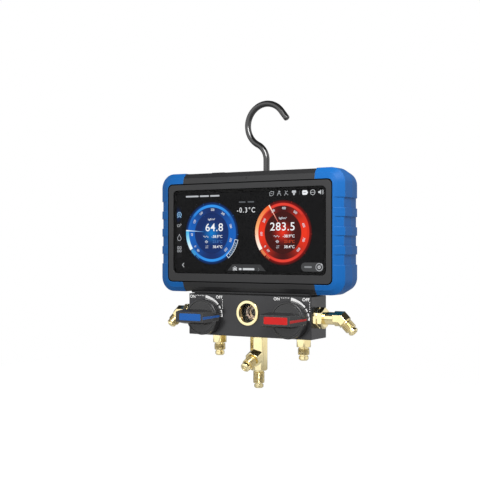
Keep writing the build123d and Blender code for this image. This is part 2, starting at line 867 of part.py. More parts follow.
# Hose ports under the block
port_hex_bar = hex_bar(port_hex, port_hex_length, 0)
port_flare = flare_end(port_thread_length, port_nose_length)
for side, sign in sides.items():
    with BuildPart() as port:
        with Locations(
            Plane(origin=(sign * port_x, port_y, block_bottom), x_dir=(1, 0, 0), z_dir=(0, 0, -1))
        ):
            add(port_hex_bar)
            Cylinder(spigot_diameter / 2, 2 * spigot_length)
        with Locations(
            Plane(
                origin=(sign * port_x, port_y, block_bottom - port_hex_length),
                x_dir=(1, 0, 0),
                z_dir=(0, 0, -1),
            )
        ):
            add(port_flare)
        with Locations((sign * port_x, port_y, block_bottom)):
            Cylinder(flare_bore / 2, 4 * port_hex_length, mode=Mode.SUBTRACT)
    keep(port.part, "port_" + side)

# Side elbows, each with its nut on the block
elbow_flare = flare_end(elbow_thread_length, elbow_nose_length)
leg_cos = cos(radians(elbow_leg_angle))
leg_sin = sin(radians(elbow_leg_angle))
for side, sign in sides.items():
    start_x = sign * elbow_x
    tube_x = start_x + sign * nut_length
    body_x = tube_x + sign * elbow_shanks[side]
    corner_x = body_x + sign * elbow_body_length
    leg = (sign * leg_cos, 0, -leg_sin)
    stub_end = (corner_x + sign * leg_cos * elbow_stub, elbow_y, elbow_z - leg_sin * elbow_stub)
    leg_end = (corner_x + sign * leg_cos * 4 * elbow_stub, elbow_y, elbow_z - leg_sin * 4 * elbow_stub)
    along = Plane(origin=(start_x, elbow_y, elbow_z), x_dir=(0, 1, 0), z_dir=(sign, 0, 0))
    nut_bar = hex_bar(nut_hex, nut_length, 30 + nut_turns[side])

    with BuildPart() as elbow:
        with BuildSketch(along.offset(-spigot_length)):
            Circle(spigot_diameter / 2)
        extrude(amount=spigot_length + nut_length)
        with BuildSketch(along.offset(nut_length)):
            Circle(elbow_tube / 2)
        extrude(amount=elbow_shanks[side])
        with BuildLine(facing_front(elbow_y)):
            Line((body_x, elbow_z), (corner_x, elbow_z))
            Line((corner_x, elbow_z), (stub_end[0], stub_end[2]))
        with BuildSketch(along.offset(nut_length + elbow_shanks[side])):
            RegularPolygon(elbow_hex / 2, 6, major_radius=False, rotation=30)
        sweep(transition=Transition.RIGHT)
        with Locations(Plane(origin=stub_end, x_dir=(0, 1, 0), z_dir=leg)):
            add(elbow_flare)
        with BuildLine(facing_front(elbow_y)):
            Line((start_x - sign * spigot_length, elbow_z), (corner_x, elbow_z))
            Line((corner_x, elbow_z), (leg_end[0], leg_end[2]))
        with BuildSketch(along.offset(-spigot_length)):
            Circle(flare_bore / 2)
        sweep(transition=Transition.RIGHT, mode=Mode.SUBTRACT)
    keep(elbow.part, "elbow_" + side)

    with BuildPart() as elbow_nut:
        with Locations(along):
            add(nut_bar)
        with BuildSketch(along.offset(nut_groove_place)):
            Circle(nut_hex)
            Circle(nut_groove_diameter / 2, mode=Mode.SUBTRACT)
        extrude(amount=nut_groove, mode=Mode.SUBTRACT)
        with BuildSketch(along):
            Circle(spigot_diameter / 2)
        extrude(amount=nut_length, mode=Mode.SUBTRACT)
    keep(elbow_nut.part, "elbow_nut_" + side)

# Centre fitting: a hexagonal body with a hose end below and a branch that runs forward and down
tee_bar = hex_bar(tee_hex, tee_length, 0)
tee_flare = flare_end(tee_thread_length, tee_nose_length)
branch_bar = hex_bar(tee_branch_hex, tee_branch_stub, 30)
branch_flare = flare_end(tee_branch_thread, tee_branch_nose)
turn_sin = sin(radians(tee_turn))
turn_cos = cos(radians(tee_turn))
drop_sin = sin(radians(tee_branch_angle))
drop_cos = cos(radians(tee_branch_angle))
branch_axis = (turn_sin * drop_cos, -turn_cos * drop_cos, -drop_sin)
down = Plane(origin=(0, tee_y, block_bottom), x_dir=(turn_sin, -turn_cos, 0), z_dir=(0, 0, -1))
branch = Plane(
    origin=(0, tee_y, block_bottom - tee_branch_drop), x_dir=(turn_cos, turn_sin, 0), z_dir=branch_axis
)

with BuildPart() as centre_tee:
    with Locations(down):
        add(tee_bar)
        Cylinder(spigot_diameter / 2, 2 * spigot_length)
    with Locations(down.offset(tee_length)):
        add(tee_flare)
    with Locations(branch):
        add(branch_bar)
    with Locations(branch.offset(tee_branch_stub)):
        add(branch_flare)
    with Locations(down):
        Cylinder(flare_bore / 2, 4 * tee_length, mode=Mode.SUBTRACT)
    with BuildSketch(branch):
        Circle(flare_bore / 2)
    extrude(amount=4 * tee_branch_stub, mode=Mode.SUBTRACT)
keep(centre_tee.part, "centre_tee")

# Pressure sensors, which stand in the block and reach up into the head
for side, sign in sides.items():
    with BuildPart() as pressure_sensor:
        with BuildSketch(Plane.XY.offset(block_top - sensor_depth)):
            with Locations((sign * valve_x, ball_y)):
                Circle(sensor_diameter / 2)
        extrude(amount=sensor_depth + sensor_above)
        with Locations((sign * valve_x, ball_y, block_top - sensor_depth)):
            Cylinder(sensor_bore / 2, sensor_depth, mode=Mode.SUBTRACT)
    keep(pressure_sensor.part, "pressure_sensor_" + side)

# Ball valves with their knobs; the right-hand knob and the left-hand knob are alike
ramp_fall = (lever_front - lever_tail_front) / (lever_tail - lever_bend)
ramp_angle_length = sqrt((lever_tail - lever_bend) ** 2 + (lever_front - lever_tail_front) ** 2)
lever_root = knob_front - knob_face / 2
lever_root_x = lever_bend + (lever_front - lever_root) / ramp_fall
lever_taper = (lever_base_height - lever_height) / 2 / (lever_front - knob_front)
ramp_end_x = knob_diameter / 2 + 3
ramp_end_depth = lever_front - (ramp_end_x - lever_bend) * ramp_fall
hollow_radius = knob_diameter / 2 - knob_rim
collar_y = block_y + gland_depth + skin_gap
ball_front_y = ball_y - ball_diameter / 2
pin_half_angle = degrees(asin((stop_pin_diameter / 2 + skin_gap) / stop_pin_radius))
slot_angles = [
    stop_pin_angle + pin_half_angle - step * (knob_turn + 2 * pin_half_angle) / 4 for step in range(5)
]

with BuildPart() as ball_seat_right:
    with BuildSketch(facing_side(gallery_half, ball_y, valve_z)):
        Circle(seat_diameter / 2)
        Circle(passage_diameter / 2, mode=Mode.SUBTRACT)
    extrude(amount=seat_reach - seat_diameter / 2)
    with Locations((valve_x, ball_y, valve_z)):
        Sphere(ball_diameter / 2 + seat_gap_to_ball, mode=Mode.SUBTRACT)
keep(ball_seat_right.part, "ball_seat_right")

with BuildPart() as ball_seat_left:
    mirror(ball_seat_right.part, about=Plane.YZ)
keep(ball_seat_left.part, "ball_seat_left")

for side, sign in sides.items():
    x = sign * valve_x

    def ahead(depth):
        """A front-facing plane on the valve's axis, a distance in front of the block."""
        return facing_front(block_y - depth, x, valve_z)

    with BuildPart() as ball:
        with Locations((x, ball_y, valve_z)):
            Sphere(ball_diameter / 2)
            Cylinder(passage_diameter / 2, 2 * ball_diameter, mode=Mode.SUBTRACT)
        with Locations((x, ball_front_y, valve_z)):
            Box(tongue_thickness, 2 * ball_slot_depth, ball_diameter, mode=Mode.SUBTRACT)
    keep(ball.part, "ball_" + side)

    with BuildPart() as valve_stem:
        with BuildSketch(facing_front(collar_y + stem_collar, x, valve_z)):
            Circle(stem_collar_diameter / 2)
        extrude(amount=stem_collar)
        with BuildSketch(facing_front(collar_y, x, valve_z)):
            Circle(stem_diameter / 2)
        extrude(amount=collar_y - block_y + stem_end)
        with BuildSketch(facing_front(ball_front_y + ball_slot_depth, x, valve_z)):
            Rectangle(tongue_thickness, tongue_width)
        extrude(until=Until.NEXT)
        with BuildSketch(ahead(hub_above_block)):
            Circle(stem_diameter)
            Rectangle(stem_flats, 2 * stem_diameter, mode=Mode.SUBTRACT)
        extrude(amount=stem_end, mode=Mode.SUBTRACT)
        with BuildSketch(ahead(stem_end - knob_screw_reach)):
            Circle(knob_screw_diameter / 2)
        extrude(amount=knob_screw_reach, mode=Mode.SUBTRACT)
    keep(valve_stem.part, "valve_stem_" + side)

    with BuildPart() as gland:
        with BuildSketch(facing_front(block_y + gland_depth, x, valve_z)):
            Circle(gland_thread / 2)
        extrude(amount=gland_depth)
        with BuildSketch(ahead(0)):
            RegularPolygon(gland_hex / 2, 6, major_radius=False)
        extrude(amount=gland_head)
        with BuildSketch(facing_front(block_y + gland_depth, x, valve_z)):
            Circle(stem_diameter / 2 + running_gap)
        extrude(amount=gland_depth + gland_head, mode=Mode.SUBTRACT)
        with BuildSketch(facing_front(block_y + gland_depth, x, valve_z)):
            Circle(stem_seal_diameter / 2)
        extrude(amount=stem_seal_thickness, mode=Mode.SUBTRACT)
    keep(gland.part, "gland_" + side)

    with BuildPart() as stem_seal:
        with BuildSketch(facing_front(block_y + gland_depth, x, valve_z)):
            Circle(stem_seal_diameter / 2)
            Circle(stem_diameter / 2 + running_gap, mode=Mode.SUBTRACT)
        extrude(amount=stem_seal_thickness)
    keep(stem_seal.part, "stem_seal_" + side)

    with BuildPart() as stop_pin:
        with BuildSketch(facing_front(block_y + stop_pin_below, x, valve_z)):
            with PolarLocations(stop_pin_radius, 1, start_angle=stop_pin_angle):
                Circle(stop_pin_diameter / 2)
        extrude(amount=stop_pin_below + stop_pin_above)
    keep(stop_pin.part, "stop_pin_" + side)

    with BuildPart() as lever:
        with BuildSketch(
            Plane(origin=(x, block_y, valve_z - knob_diameter), x_dir=(1, 0, 0), z_dir=(0, 0, 1))
        ):
            with BuildLine():
                Polyline(
                    (-lever_reach, -lever_under),
                    (-lever_reach, -lever_front),
                    (lever_bend, -lever_front),
                    (lever_root_x, -lever_root),
                    (-hollow_radius, -lever_root),
                    (-hollow_radius - 1, -lever_under),
                    close=True,
                )
            make_face()
        extrude(amount=2 * knob_diameter)
        with BuildSketch(facing_side(x - knob_diameter, block_y, valve_z)):
            with BuildLine():
                Polyline(
                    (-lever_front, lever_height / 2),
                    (0, lever_height / 2 + lever_front * lever_taper),
                    (0, -lever_height / 2 - lever_front * lever_taper),
                    (-lever_front, -lever_height / 2),
                    close=True,
                )
            make_face()
        extrude(amount=2 * knob_diameter, mode=Mode.INTERSECT)
        with BuildSketch(ahead(0)) as outline:
            with BuildLine():
                Polyline(
                    (-lever_reach, lever_end_height / 2),
                    (-lever_reach + lever_end_length, lever_base_height / 2),
                    (lever_bend - 2, lever_base_height / 2),
                    (lever_bend + 1.5, lever_shoulder_height / 2),
                    (ramp_end_x, lever_tail_height / 2),
                    (ramp_end_x, -lever_tail_height / 2),
                    (lever_bend + 1.5, -lever_shoulder_height / 2),
                    (lever_bend - 2, -lever_base_height / 2),
                    (-lever_reach + lever_end_length, -lever_base_height / 2),
                    (-lever_reach, -lever_end_height / 2),
                    close=True,
                )
            make_face()
            fillet(outline.vertices().group_by(Axis.X)[0], lever_corner)
        extrude(amount=lever_front + 1, mode=Mode.INTERSECT)

    with BuildPart() as ramp_cut:
        with BuildSketch(
            Plane(origin=(x, block_y, valve_z - knob_diameter), x_dir=(1, 0, 0), z_dir=(0, 0, 1))
        ):
            with BuildLine():
                Polyline(
                    (lever_bend, -lever_front - 1),
                    (lever_bend, -lever_front),
                    (ramp_end_x, -ramp_end_depth),
                    (ramp_end_x, -lever_front - 1),
                    close=True,
                )
            make_face()
        extrude(amount=2 * knob_diameter)
        with BuildSketch(ahead(-lever_front)):
            with BuildLine():
                Polyline(
                    (lever_bend, lever_shoulder_height / 2),
                    (ramp_end_x, lever_tail_height / 2),
                    (ramp_end_x, -lever_tail_height / 2),
                    (lever_bend, -lever_shoulder_height / 2),
                    close=True,
                )
            make_face()
        extrude(amount=3 * lever_front, mode=Mode.INTERSECT)

    with BuildPart() as knob_pointer:
        on_ramp = Plane(
            origin=(x + lever_bend, block_y - lever_front, valve_z),
            x_dir=(1, ramp_fall, 0),
            z_dir=(ramp_fall, -1, 0),
        )
        with BuildSketch(on_ramp.offset(badge_proud - pointer_thickness)):
            with BuildLine():
                Polyline(
                    (badge_proud, pointer_start_rise + pointer_start_height / 2),
                    (ramp_angle_length - badge_proud, pointer_end_rise + pointer_end_height / 2),
                    (ramp_angle_length - badge_proud, pointer_end_rise - pointer_end_height / 2),
                    (badge_proud, pointer_start_rise - pointer_start_height / 2),
                    close=True,
                )
            make_face()
        extrude(amount=pointer_thickness)
    keep(knob_pointer.part, "knob_pointer_" + side)

    with BuildPart() as knob_badge:
        with BuildSketch(ahead(lever_front + badge_proud - badge_thickness)):
            with Locations((badge_start + badge_length / 2, 0)):
                RectangleRounded(badge_length, badge_height, badge_corner)
        extrude(amount=badge_thickness)
    keep(knob_badge.part, "knob_badge_" + side)

    with BuildPart() as knob:
        with BuildSketch(ahead(knob_standoff)):
            Circle(knob_diameter / 2)
        extrude(amount=knob_front - knob_standoff)
        fillet(knob.faces().sort_by(Axis.Y)[0].edges(), knob_edge)
        with BuildSketch(ahead(knob_front - groove_depth)):
            Circle((groove_diameter + groove_width) / 2)
            Circle((groove_diameter - groove_width) / 2, mode=Mode.SUBTRACT)
        extrude(amount=knob_front, mode=Mode.SUBTRACT)
        with BuildSketch(ahead(knob_standoff)):
            Circle(hollow_radius)
        extrude(amount=knob_front - knob_face - knob_standoff, mode=Mode.SUBTRACT)
        with BuildSketch(ahead(hub_above_block)):
            Circle(hollow_radius + knob_rim / 2)
            Circle(stop_pin_radius - stop_pin_diameter / 2 - skin_gap, mode=Mode.SUBTRACT)
            with BuildLine():
                Polyline(
                    (0, 0),
                    *[
                        (knob_diameter * cos(radians(angle)), knob_diameter * sin(radians(angle)))
                        for angle in slot_angles
                    ],
                    close=True,
                )
            make_face(mode=Mode.SUBTRACT)
            Circle(knob_hub / 2)
        extrude(amount=knob_front - knob_face / 2 - hub_above_block)
        add(lever.part)
        add(ramp_cut.part, mode=Mode.SUBTRACT)
        add(knob_pointer.part, mode=Mode.SUBTRACT)
        add(knob_badge.part, mode=Mode.SUBTRACT)
        with BuildSketch(ahead(hub_above_block)):
            Circle(stem_diameter / 2)
            Rectangle(stem_flats, 2 * stem_diameter, mode=Mode.INTERSECT)
        extrude(amount=stem_end - hub_above_block, mode=Mode.SUBTRACT)
        with BuildSketch(ahead(stem_end)):
            Circle(knob_screw_diameter / 2 + seat_gap)
        extrude(amount=lever_front, mode=Mode.SUBTRACT)
        with BuildSketch(ahead(knob_screw_seat)):
            Circle(knob_screw_head / 2 + seat_gap)
        extrude(amount=lever_front, mode=Mode.SUBTRACT)
    keep(knob.part, "knob_" + side)

    with BuildPart() as knob_screw:
        with BuildSketch(ahead(stem_end - knob_screw_reach)):
            Circle(knob_screw_diameter / 2)
        extrude(amount=knob_screw_seat - stem_end + knob_screw_reach)
        with BuildSketch(ahead(knob_screw_seat)):
            Circle(knob_screw_head / 2)
            RegularPolygon(knob_screw_diameter / 3, 6, mode=Mode.SUBTRACT)
        extrude(amount=knob_screw_head_height)
    keep(knob_screw.part, "knob_screw_" + side)
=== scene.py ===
import math
import bpy
import numpy as np
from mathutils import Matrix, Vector


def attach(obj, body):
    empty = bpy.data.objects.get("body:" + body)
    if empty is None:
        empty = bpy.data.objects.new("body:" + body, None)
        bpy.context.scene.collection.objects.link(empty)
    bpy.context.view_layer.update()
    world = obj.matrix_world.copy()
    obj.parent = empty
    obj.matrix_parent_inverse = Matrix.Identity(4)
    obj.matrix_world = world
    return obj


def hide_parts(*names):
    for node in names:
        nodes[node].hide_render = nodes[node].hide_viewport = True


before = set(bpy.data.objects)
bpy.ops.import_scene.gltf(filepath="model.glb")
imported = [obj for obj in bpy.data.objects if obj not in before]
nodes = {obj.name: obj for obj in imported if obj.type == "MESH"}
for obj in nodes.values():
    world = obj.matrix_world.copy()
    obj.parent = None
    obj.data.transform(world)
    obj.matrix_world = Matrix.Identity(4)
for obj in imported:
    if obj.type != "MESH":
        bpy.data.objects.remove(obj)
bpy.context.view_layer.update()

mm = 0.001               # a millimetre in metres
print("frame loaded:", len(nodes), "nodes")

# where the main forms stand, in millimetres
place = {
    "frontY": -39.0, "glassBackY": -37.2, "screenZ": -121.25,
    "blockY": -35.6, "blockBottom": -220.15,
    "valveX": 46.4, "valveZ": -202.55, "sightZ": -197.75,
}


# inputs of a node by name: a socket is linked, and anything else becomes the input's value
def feed(tree, node, **values):
    for key, value in values.items():
        socket = node.inputs[key.replace("_", " ")]
        if isinstance(value, bpy.types.NodeSocket):
            tree.links.new(value, socket)
        else:
            socket.default_value = value


# new node: settings in small letters are its own, and the others go to its inputs
def addNode(tree, kind, **settings):
    node = tree.nodes.new(kind)
    for key, value in settings.items():
        if key[0].islower():
            setattr(node, key, value)
        else:
            feed(tree, node, **{key: value})
    return node


# sum, product or other working of sockets and numbers
def calc(tree, operation, a, b=None, c=None):
    node = tree.nodes.new("ShaderNodeMath")
    node.operation = operation
    for socket, value in zip(node.inputs, (a, b, c)):
        if value is None:
            continue
        if isinstance(value, (int, float)):
            socket.default_value = value
        else:
            tree.links.new(value, socket)
    return node.outputs[0]


# two colours, each a socket or three numbers, blended by a factor
def blend(tree, factor, first, second, how="MIX"):
    node = addNode(tree, "ShaderNodeMix", data_type="RGBA", blend_type=how, Factor=factor)
    for socket, value in zip([s for s in node.inputs if s.type == "RGBA"], (first, second)):
        if isinstance(value, tuple):
            socket.default_value = (*value, 1.0)
        else:
            tree.links.new(value, socket)
    return [s for s in node.outputs if s.type == "RGBA"][0]


def newGroup(name, inputs, outputs):
    tree = bpy.data.node_groups.new(name, "ShaderNodeTree")
    for title, kind, value in inputs:
        socket = tree.interface.new_socket(name=title, in_out="INPUT", socket_type=kind)
        socket.default_value = value
    for title, kind in outputs:
        tree.interface.new_socket(name=title, in_out="OUTPUT", socket_type=kind)
    return tree, tree.nodes.new("NodeGroupInput"), tree.nodes.new("NodeGroupOutput")


# group for a moulded or machined surface: fine grain, soft blotches, rounded edges and a mask of those edges
# the edge mask is where the finishes lay their painted edge highlights
def buildSurfaceDetail():
    tree, given, out = newGroup(
        "surfaceDetail",
        [("Grain Scale", "NodeSocketFloat", 2000.0), ("Grain Depth", "NodeSocketFloat", 0.00002),
         ("Blotch Scale", "NodeSocketFloat", 30.0), ("Round", "NodeSocketFloat", 0.0004)],
        [("Normal", "NodeSocketVector"), ("Edge", "NodeSocketFloat"),
         ("Blotch", "NodeSocketFloat"), ("Grain", "NodeSocketFloat")],
    )
    link = tree.links.new
    coord = addNode(tree, "ShaderNodeTexCoord").outputs["Object"]
    grain = addNode(tree, "ShaderNodeTexNoise", Vector=coord, Scale=given.outputs["Grain Scale"],
                    Detail=3.0, Roughness=0.6)
    blotch = addNode(tree, "ShaderNodeTexNoise", Vector=coord, Scale=given.outputs["Blotch Scale"],
                     Detail=4.0, Roughness=0.55)
    bevel = addNode(tree, "ShaderNodeBevel", samples=4, Radius=given.outputs["Round"])
    dot = addNode(tree, "ShaderNodeVectorMath", operation="DOT_PRODUCT")
    link(bevel.outputs[0], dot.inputs[0])
    link(addNode(tree, "ShaderNodeNewGeometry").outputs["Normal"], dot.inputs[1])
    edge = addNode(tree, "ShaderNodeMapRange", Value=dot.outputs["Value"], From_Min=0.995, From_Max=0.9)
    bump = addNode(tree, "ShaderNodeBump", Strength=1.0, Distance=given.outputs["Grain Depth"],
                   Height=grain.outputs["Fac"], Normal=bevel.outputs[0])
    soft = addNode(tree, "ShaderNodeMapRange", Value=blotch.outputs["Fac"], From_Min=0.32, From_Max=0.68)
    feed(tree, out, Normal=bump.outputs[0], Edge=edge.outputs[0], Blotch=soft.outputs[0],
         Grain=grain.outputs["Fac"])
    return tree


surfaceDetail = buildSurfaceDetail()


# material with its tree and its one shader
def newMaterial(name):
    material = bpy.data.materials.new(name)
    material.use_nodes = True
    tree = material.node_tree
    return material, tree, tree.nodes["Principled BSDF"]


# one finish: two shades that drift into each other, a painted edge highlight (on the block a painted edge
# shade), a painted shadow in thread roots, and roughness that drifts with the grain; grain is its scale and
# its depth in metres
def makeFinish(name, shade, second, roughness, drift=0.06, metal=0.0, grain=(2500, 1e-5), blotch=40.0,
               rounding=0.0004, paintedEdgeLight=None, paintedEdgeAmount=0.0, specular=0.5, rootPaintedShadow=None):
    material, tree, shader = newMaterial(name)
    detail = addNode(tree, "ShaderNodeGroup", node_tree=surfaceDetail, Grain_Scale=grain[0],
                     Grain_Depth=grain[1], Blotch_Scale=blotch, Round=rounding)
    colour = blend(tree, detail.outputs["Blotch"], shade, second)
    # painted edge highlight: the edge colour is laid where the bevel bends the normal; on the block it is
    # darker, a painted shade
    if paintedEdgeLight is not None:
        colour = blend(tree, calc(tree, "MULTIPLY", detail.outputs["Edge"], paintedEdgeAmount), colour, paintedEdgeLight)
    # painted shadow in thread roots, darkening towards a brown by the mask that turnedBody writes
    if rootPaintedShadow is not None:
        root = addNode(tree, "ShaderNodeAttribute", attribute_name="rootShadowMask")
        colour = blend(tree, root.outputs["Fac"], colour, rootPaintedShadow)
    if drift > 0:
        rough = addNode(tree, "ShaderNodeMapRange", Value=detail.outputs["Grain"],
                        To_Min=roughness - drift, To_Max=roughness + drift)
        roughness = rough.outputs[0]
    feed(tree, shader, Base_Color=colour, Roughness=roughness, Normal=detail.outputs["Normal"],
         Metallic=metal, Specular_IOR_Level=specular)
    return material


# clear sheet: a faint mirror and nothing else; its strength is the least share plus the shine times the fifth
# power of how far the surface turns away
def makeGlass(name, tint, least, shine):
    material, tree, shader = newMaterial(name)
    away = addNode(tree, "ShaderNodeLayerWeight", Blend=0.5)
    steep = calc(tree, "POWER", away.outputs["Facing"], 5.0)
    feed(tree, shader, Alpha=calc(tree, "MULTIPLY_ADD", steep, shine, least), Base_Color=(*tint, 1.0),
         Metallic=1.0, Roughness=0.10)
    return material


# lit graphics under a faint gloss: every point's colour comes from the mesh's own "glow" attribute
def makeGlow(name, strength, gloss):
    material, tree, shader = newMaterial(name)
    glow = addNode(tree, "ShaderNodeAttribute", attribute_name="glow")
    feed(tree, shader, Emission_Color=glow.outputs["Color"], Emission_Strength=strength,
         Base_Color=(0.0, 0.0, 0.0, 1.0), Roughness=0.15, Specular_IOR_Level=gloss)
    return material


# finishes: a lighter edge colour is a painted edge highlight, laid by the bevel's edge mask
finishes = {
    "bezel": makeFinish("bezelPlastic", (0.023, 0.023, 0.024), (0.018, 0.018, 0.019), roughness=0.40,
        drift=0.08, grain=(2600, 1e-5), blotch=18.0, rounding=0.0005, paintedEdgeLight=(0.10, 0.10, 0.10),
        paintedEdgeAmount=0.45, specular=0.33),
    "bumper": makeFinish("bumperRubber", (0.008, 0.115, 0.385), (0.006, 0.104, 0.355), roughness=0.42,
        drift=0.08, grain=(1900, 1.2e-5), blotch=25.0, rounding=0.0007, paintedEdgeLight=(0.06, 0.22, 0.55),
        paintedEdgeAmount=0.5, specular=0.12),
    "display": makeFinish("displayBlack", (0.0015, 0.0015, 0.0018), (0.0025, 0.0025, 0.003),
        roughness=0.15, drift=0.0, grain=(2500, 0.0), specular=0.09),
    "mask": makeFinish("maskBlack", (0.0012, 0.0012, 0.0014), (0.002, 0.002, 0.002), roughness=0.15,
        drift=0.0, grain=(2500, 0.0), specular=0.09),
    "glass": makeGlass("screenGlass", (0.95, 0.96, 0.97), least=0.0, shine=0.6),
    "lens": makeGlass("sightGlass", (0.93, 0.96, 0.94), least=0.008, shine=0.5),
    "indicator": makeFinish("indicatorDark", (0.004, 0.004, 0.004), (0.006, 0.006, 0.006), roughness=0.15),
    # block: its edge colour is darker, a painted shade along edges and recesses
    "block": makeFinish("blockAnodised", (0.050, 0.050, 0.052), (0.038, 0.038, 0.040), roughness=0.30,
        drift=0.08, metal=0.6, grain=(3000, 8e-6), blotch=22.0, rounding=0.0004,
        paintedEdgeLight=(0.01, 0.01, 0.01), paintedEdgeAmount=0.6),
    "saddle": makeFinish("saddlePlate", (0.022, 0.022, 0.023), (0.017, 0.017, 0.018), roughness=0.5,
        specular=0.3),
    "seal": makeFinish("blackRubber", (0.010, 0.010, 0.010), (0.014, 0.014, 0.014), roughness=0.6),
    # black line of painted shadow in the gap round the front frame
    "groove": makeFinish("paintedGapShadow", (0.0015, 0.0015, 0.0016), (0.002, 0.002, 0.002), roughness=0.8,
        specular=0.02),
    "knob": makeFinish("knobPlastic", (0.024, 0.024, 0.025), (0.019, 0.019, 0.020), roughness=0.30,
        drift=0.08, grain=(2200, 8e-6), blotch=60.0, rounding=0.0007, paintedEdgeLight=(0.14, 0.14, 0.14),
        paintedEdgeAmount=0.5),
    "blueBadge": makeFinish("blueBadge", (0.010, 0.110, 0.42), (0.008, 0.10, 0.38), roughness=0.3,
        rounding=0.0003, paintedEdgeLight=(0.2, 0.4, 0.8), paintedEdgeAmount=0.5, specular=0.25),
    "bluePointer": makeFinish("bluePointer", (0.006, 0.062, 0.24), (0.005, 0.056, 0.22), roughness=0.25,
        rounding=0.0003, paintedEdgeLight=(0.2, 0.4, 0.8), paintedEdgeAmount=0.4, specular=0.4),
    "redPointer": makeFinish("redPointer", (0.34, 0.010, 0.009), (0.30, 0.008, 0.008), roughness=0.25,
        rounding=0.0003, paintedEdgeLight=(0.9, 0.3, 0.25), paintedEdgeAmount=0.4, specular=0.4),
    "redBadge": makeFinish("redBadge", (0.58, 0.014, 0.012), (0.52, 0.010, 0.010), roughness=0.3,
        rounding=0.0003, paintedEdgeLight=(0.9, 0.3, 0.25), paintedEdgeAmount=0.5, specular=0.25),
    "hook": makeFinish("hookPaint", (0.008, 0.008, 0.008), (0.011, 0.011, 0.011), roughness=0.16,
        drift=0.05, grain=(700, 3e-6), blotch=80.0, specular=0.9),
    "steel": makeFinish("zincSteel", (0.55, 0.55, 0.56), (0.48, 0.48, 0.49), roughness=0.3, metal=1.0),
    "bush": makeFinish("bushMetal", (0.30, 0.30, 0.31), (0.24, 0.24, 0.25), roughness=0.35, metal=1.0),
    # brass: its edge colour is a painted highlight, its root colour a painted shadow in thread roots
    "brass": makeFinish("brass", (0.93, 0.82, 0.49), (0.88, 0.73, 0.38), roughness=0.13, drift=0.05,
        metal=1.0, grain=(1500, 3e-6), blotch=70.0, rounding=0.00035, paintedEdgeLight=(0.98, 0.90, 0.66),
        paintedEdgeAmount=0.6, rootPaintedShadow=(0.50, 0.36, 0.12)),
    # sight glass bronze: pale blotches are painted reflections, near-black ones painted shade
    "sightBronzePaintedGlints": makeFinish("sightBronzePaintedGlints", (0.66, 0.54, 0.44), (0.07, 0.030, 0.020), roughness=0.22,
        drift=0.06, metal=1.0, grain=(500, 3e-5), blotch=260.0, rounding=0.0002),
    "board": makeFinish("boardGreen", (0.01, 0.12, 0.05), (0.01, 0.09, 0.04), roughness=0.4),
    "battery": makeFinish("batteryWrap", (0.4, 0.4, 0.42), (0.35, 0.35, 0.37), roughness=0.4),
    "ptfe": makeFinish("whitePtfe", (0.8, 0.8, 0.78), (0.75, 0.75, 0.73), roughness=0.4),
    "chrome": makeFinish("polishedBall", (0.8, 0.8, 0.82), (0.75, 0.75, 0.77), roughness=0.08, metal=1.0),
    "print": makeFinish("whitePrint", (0.86, 0.86, 0.85), (0.80, 0.80, 0.79), roughness=0.45,
        rounding=0.0001),
    "glow": makeGlow("screenGlow", strength=1.0, gloss=0.09),
}
print("finishes made:", len(finishes))

nodeFinish = {
    "front_bezel": "bezel", "rear_cover": "bezel", "bumper": "bumper", "screen_glass": "glass",
    "screen_mask": "mask", "display_panel": "display", "main_board": "board", "battery_pack": "battery",
    "case_screws": "steel", "tie_screws": "steel", "indicator_lens": "indicator", "usb_socket": "steel",
    "usb_flap": "seal", "hook": "hook", "hook_clip": "steel", "hook_bush": "bush", "saddle_plate": "saddle",
    "saddle_gasket": "seal", "manifold_block": "block", "pressure_sensor": "steel", "valve_stem": "steel",
    "ball": "chrome", "ball_seat": "ptfe", "stem_seal": "ptfe", "sight_seal": "seal", "gland": "brass",
    "stop_pin": "steel", "knob": "knob", "knob_badge_left": "blueBadge", "knob_badge_right": "redBadge",
    "knob_pointer_left": "bluePointer", "knob_pointer_right": "redPointer", "knob_screw": "steel",
    "sight_ring": "brass", "sight_lens": "lens", "elbow_nut": "brass", "elbow": "brass", "port": "brass",
    "centre_tee": "brass",
}
for name, obj in nodes.items():
    key = name if name in nodeFinish else name.rsplit("_", 1)[0]
    obj.data.materials.clear()
    obj.data.materials.append(finishes[nodeFinish[key]])
print("nodes finished")


def addObject(name, data):
    added = bpy.data.objects.new(name, data)
    bpy.context.scene.collection.objects.link(added)
    return added


# mesh from an array of points in millimetres, of any shape, and its faces
def newMesh(name, points, faces):
    mesh = bpy.data.meshes.new(name)
    mesh.from_pydata((points.reshape(-1, 3) * mm).tolist(), [], faces)
    return mesh


# a mesh becomes a piece: its finish, smooth faces between sharp edges and the body it rides
def finishPiece(name, mesh, body, finish, sharpDegrees=None):
    mesh.materials.append(finishes[finish])
    piece = addObject(name, mesh)
    if sharpDegrees is not None:
        mesh.polygons.foreach_set("use_smooth", np.ones(len(mesh.polygons), dtype=bool))
        mesh.set_sharp_from_angle(angle=math.radians(sharpDegrees))
    mesh.update()
    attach(piece, body)
    return piece


# faces of a grid of points: each joins a point to the next one round and to the same two in the next row;
# the grid closes round, and from the last row to the first where asked
def gridFaces(rows, columns, closeRows):
    last = rows if closeRows else rows - 1
    i, j = np.meshgrid(np.arange(last), np.arange(columns), indexing="ij")
    near, far = i * columns, (i + 1) % rows * columns
    faces = [near + j, near + (j + 1) % columns, far + (j + 1) % columns, far + j]
    return np.stack(faces, axis=-1).reshape(-1, 4)


# axes of a place: origin, sideways, upwards and along, with sideways squared up to along
def placeAxes(origin, sideways, along):
    along = np.array(along, dtype=float) / np.linalg.norm(along)
    sideways = np.array(sideways, dtype=float)
    sideways -= along * sideways.dot(along)
    sideways /= np.linalg.norm(sideways)
    return np.array(origin, dtype=float), sideways, np.cross(along, sideways), along


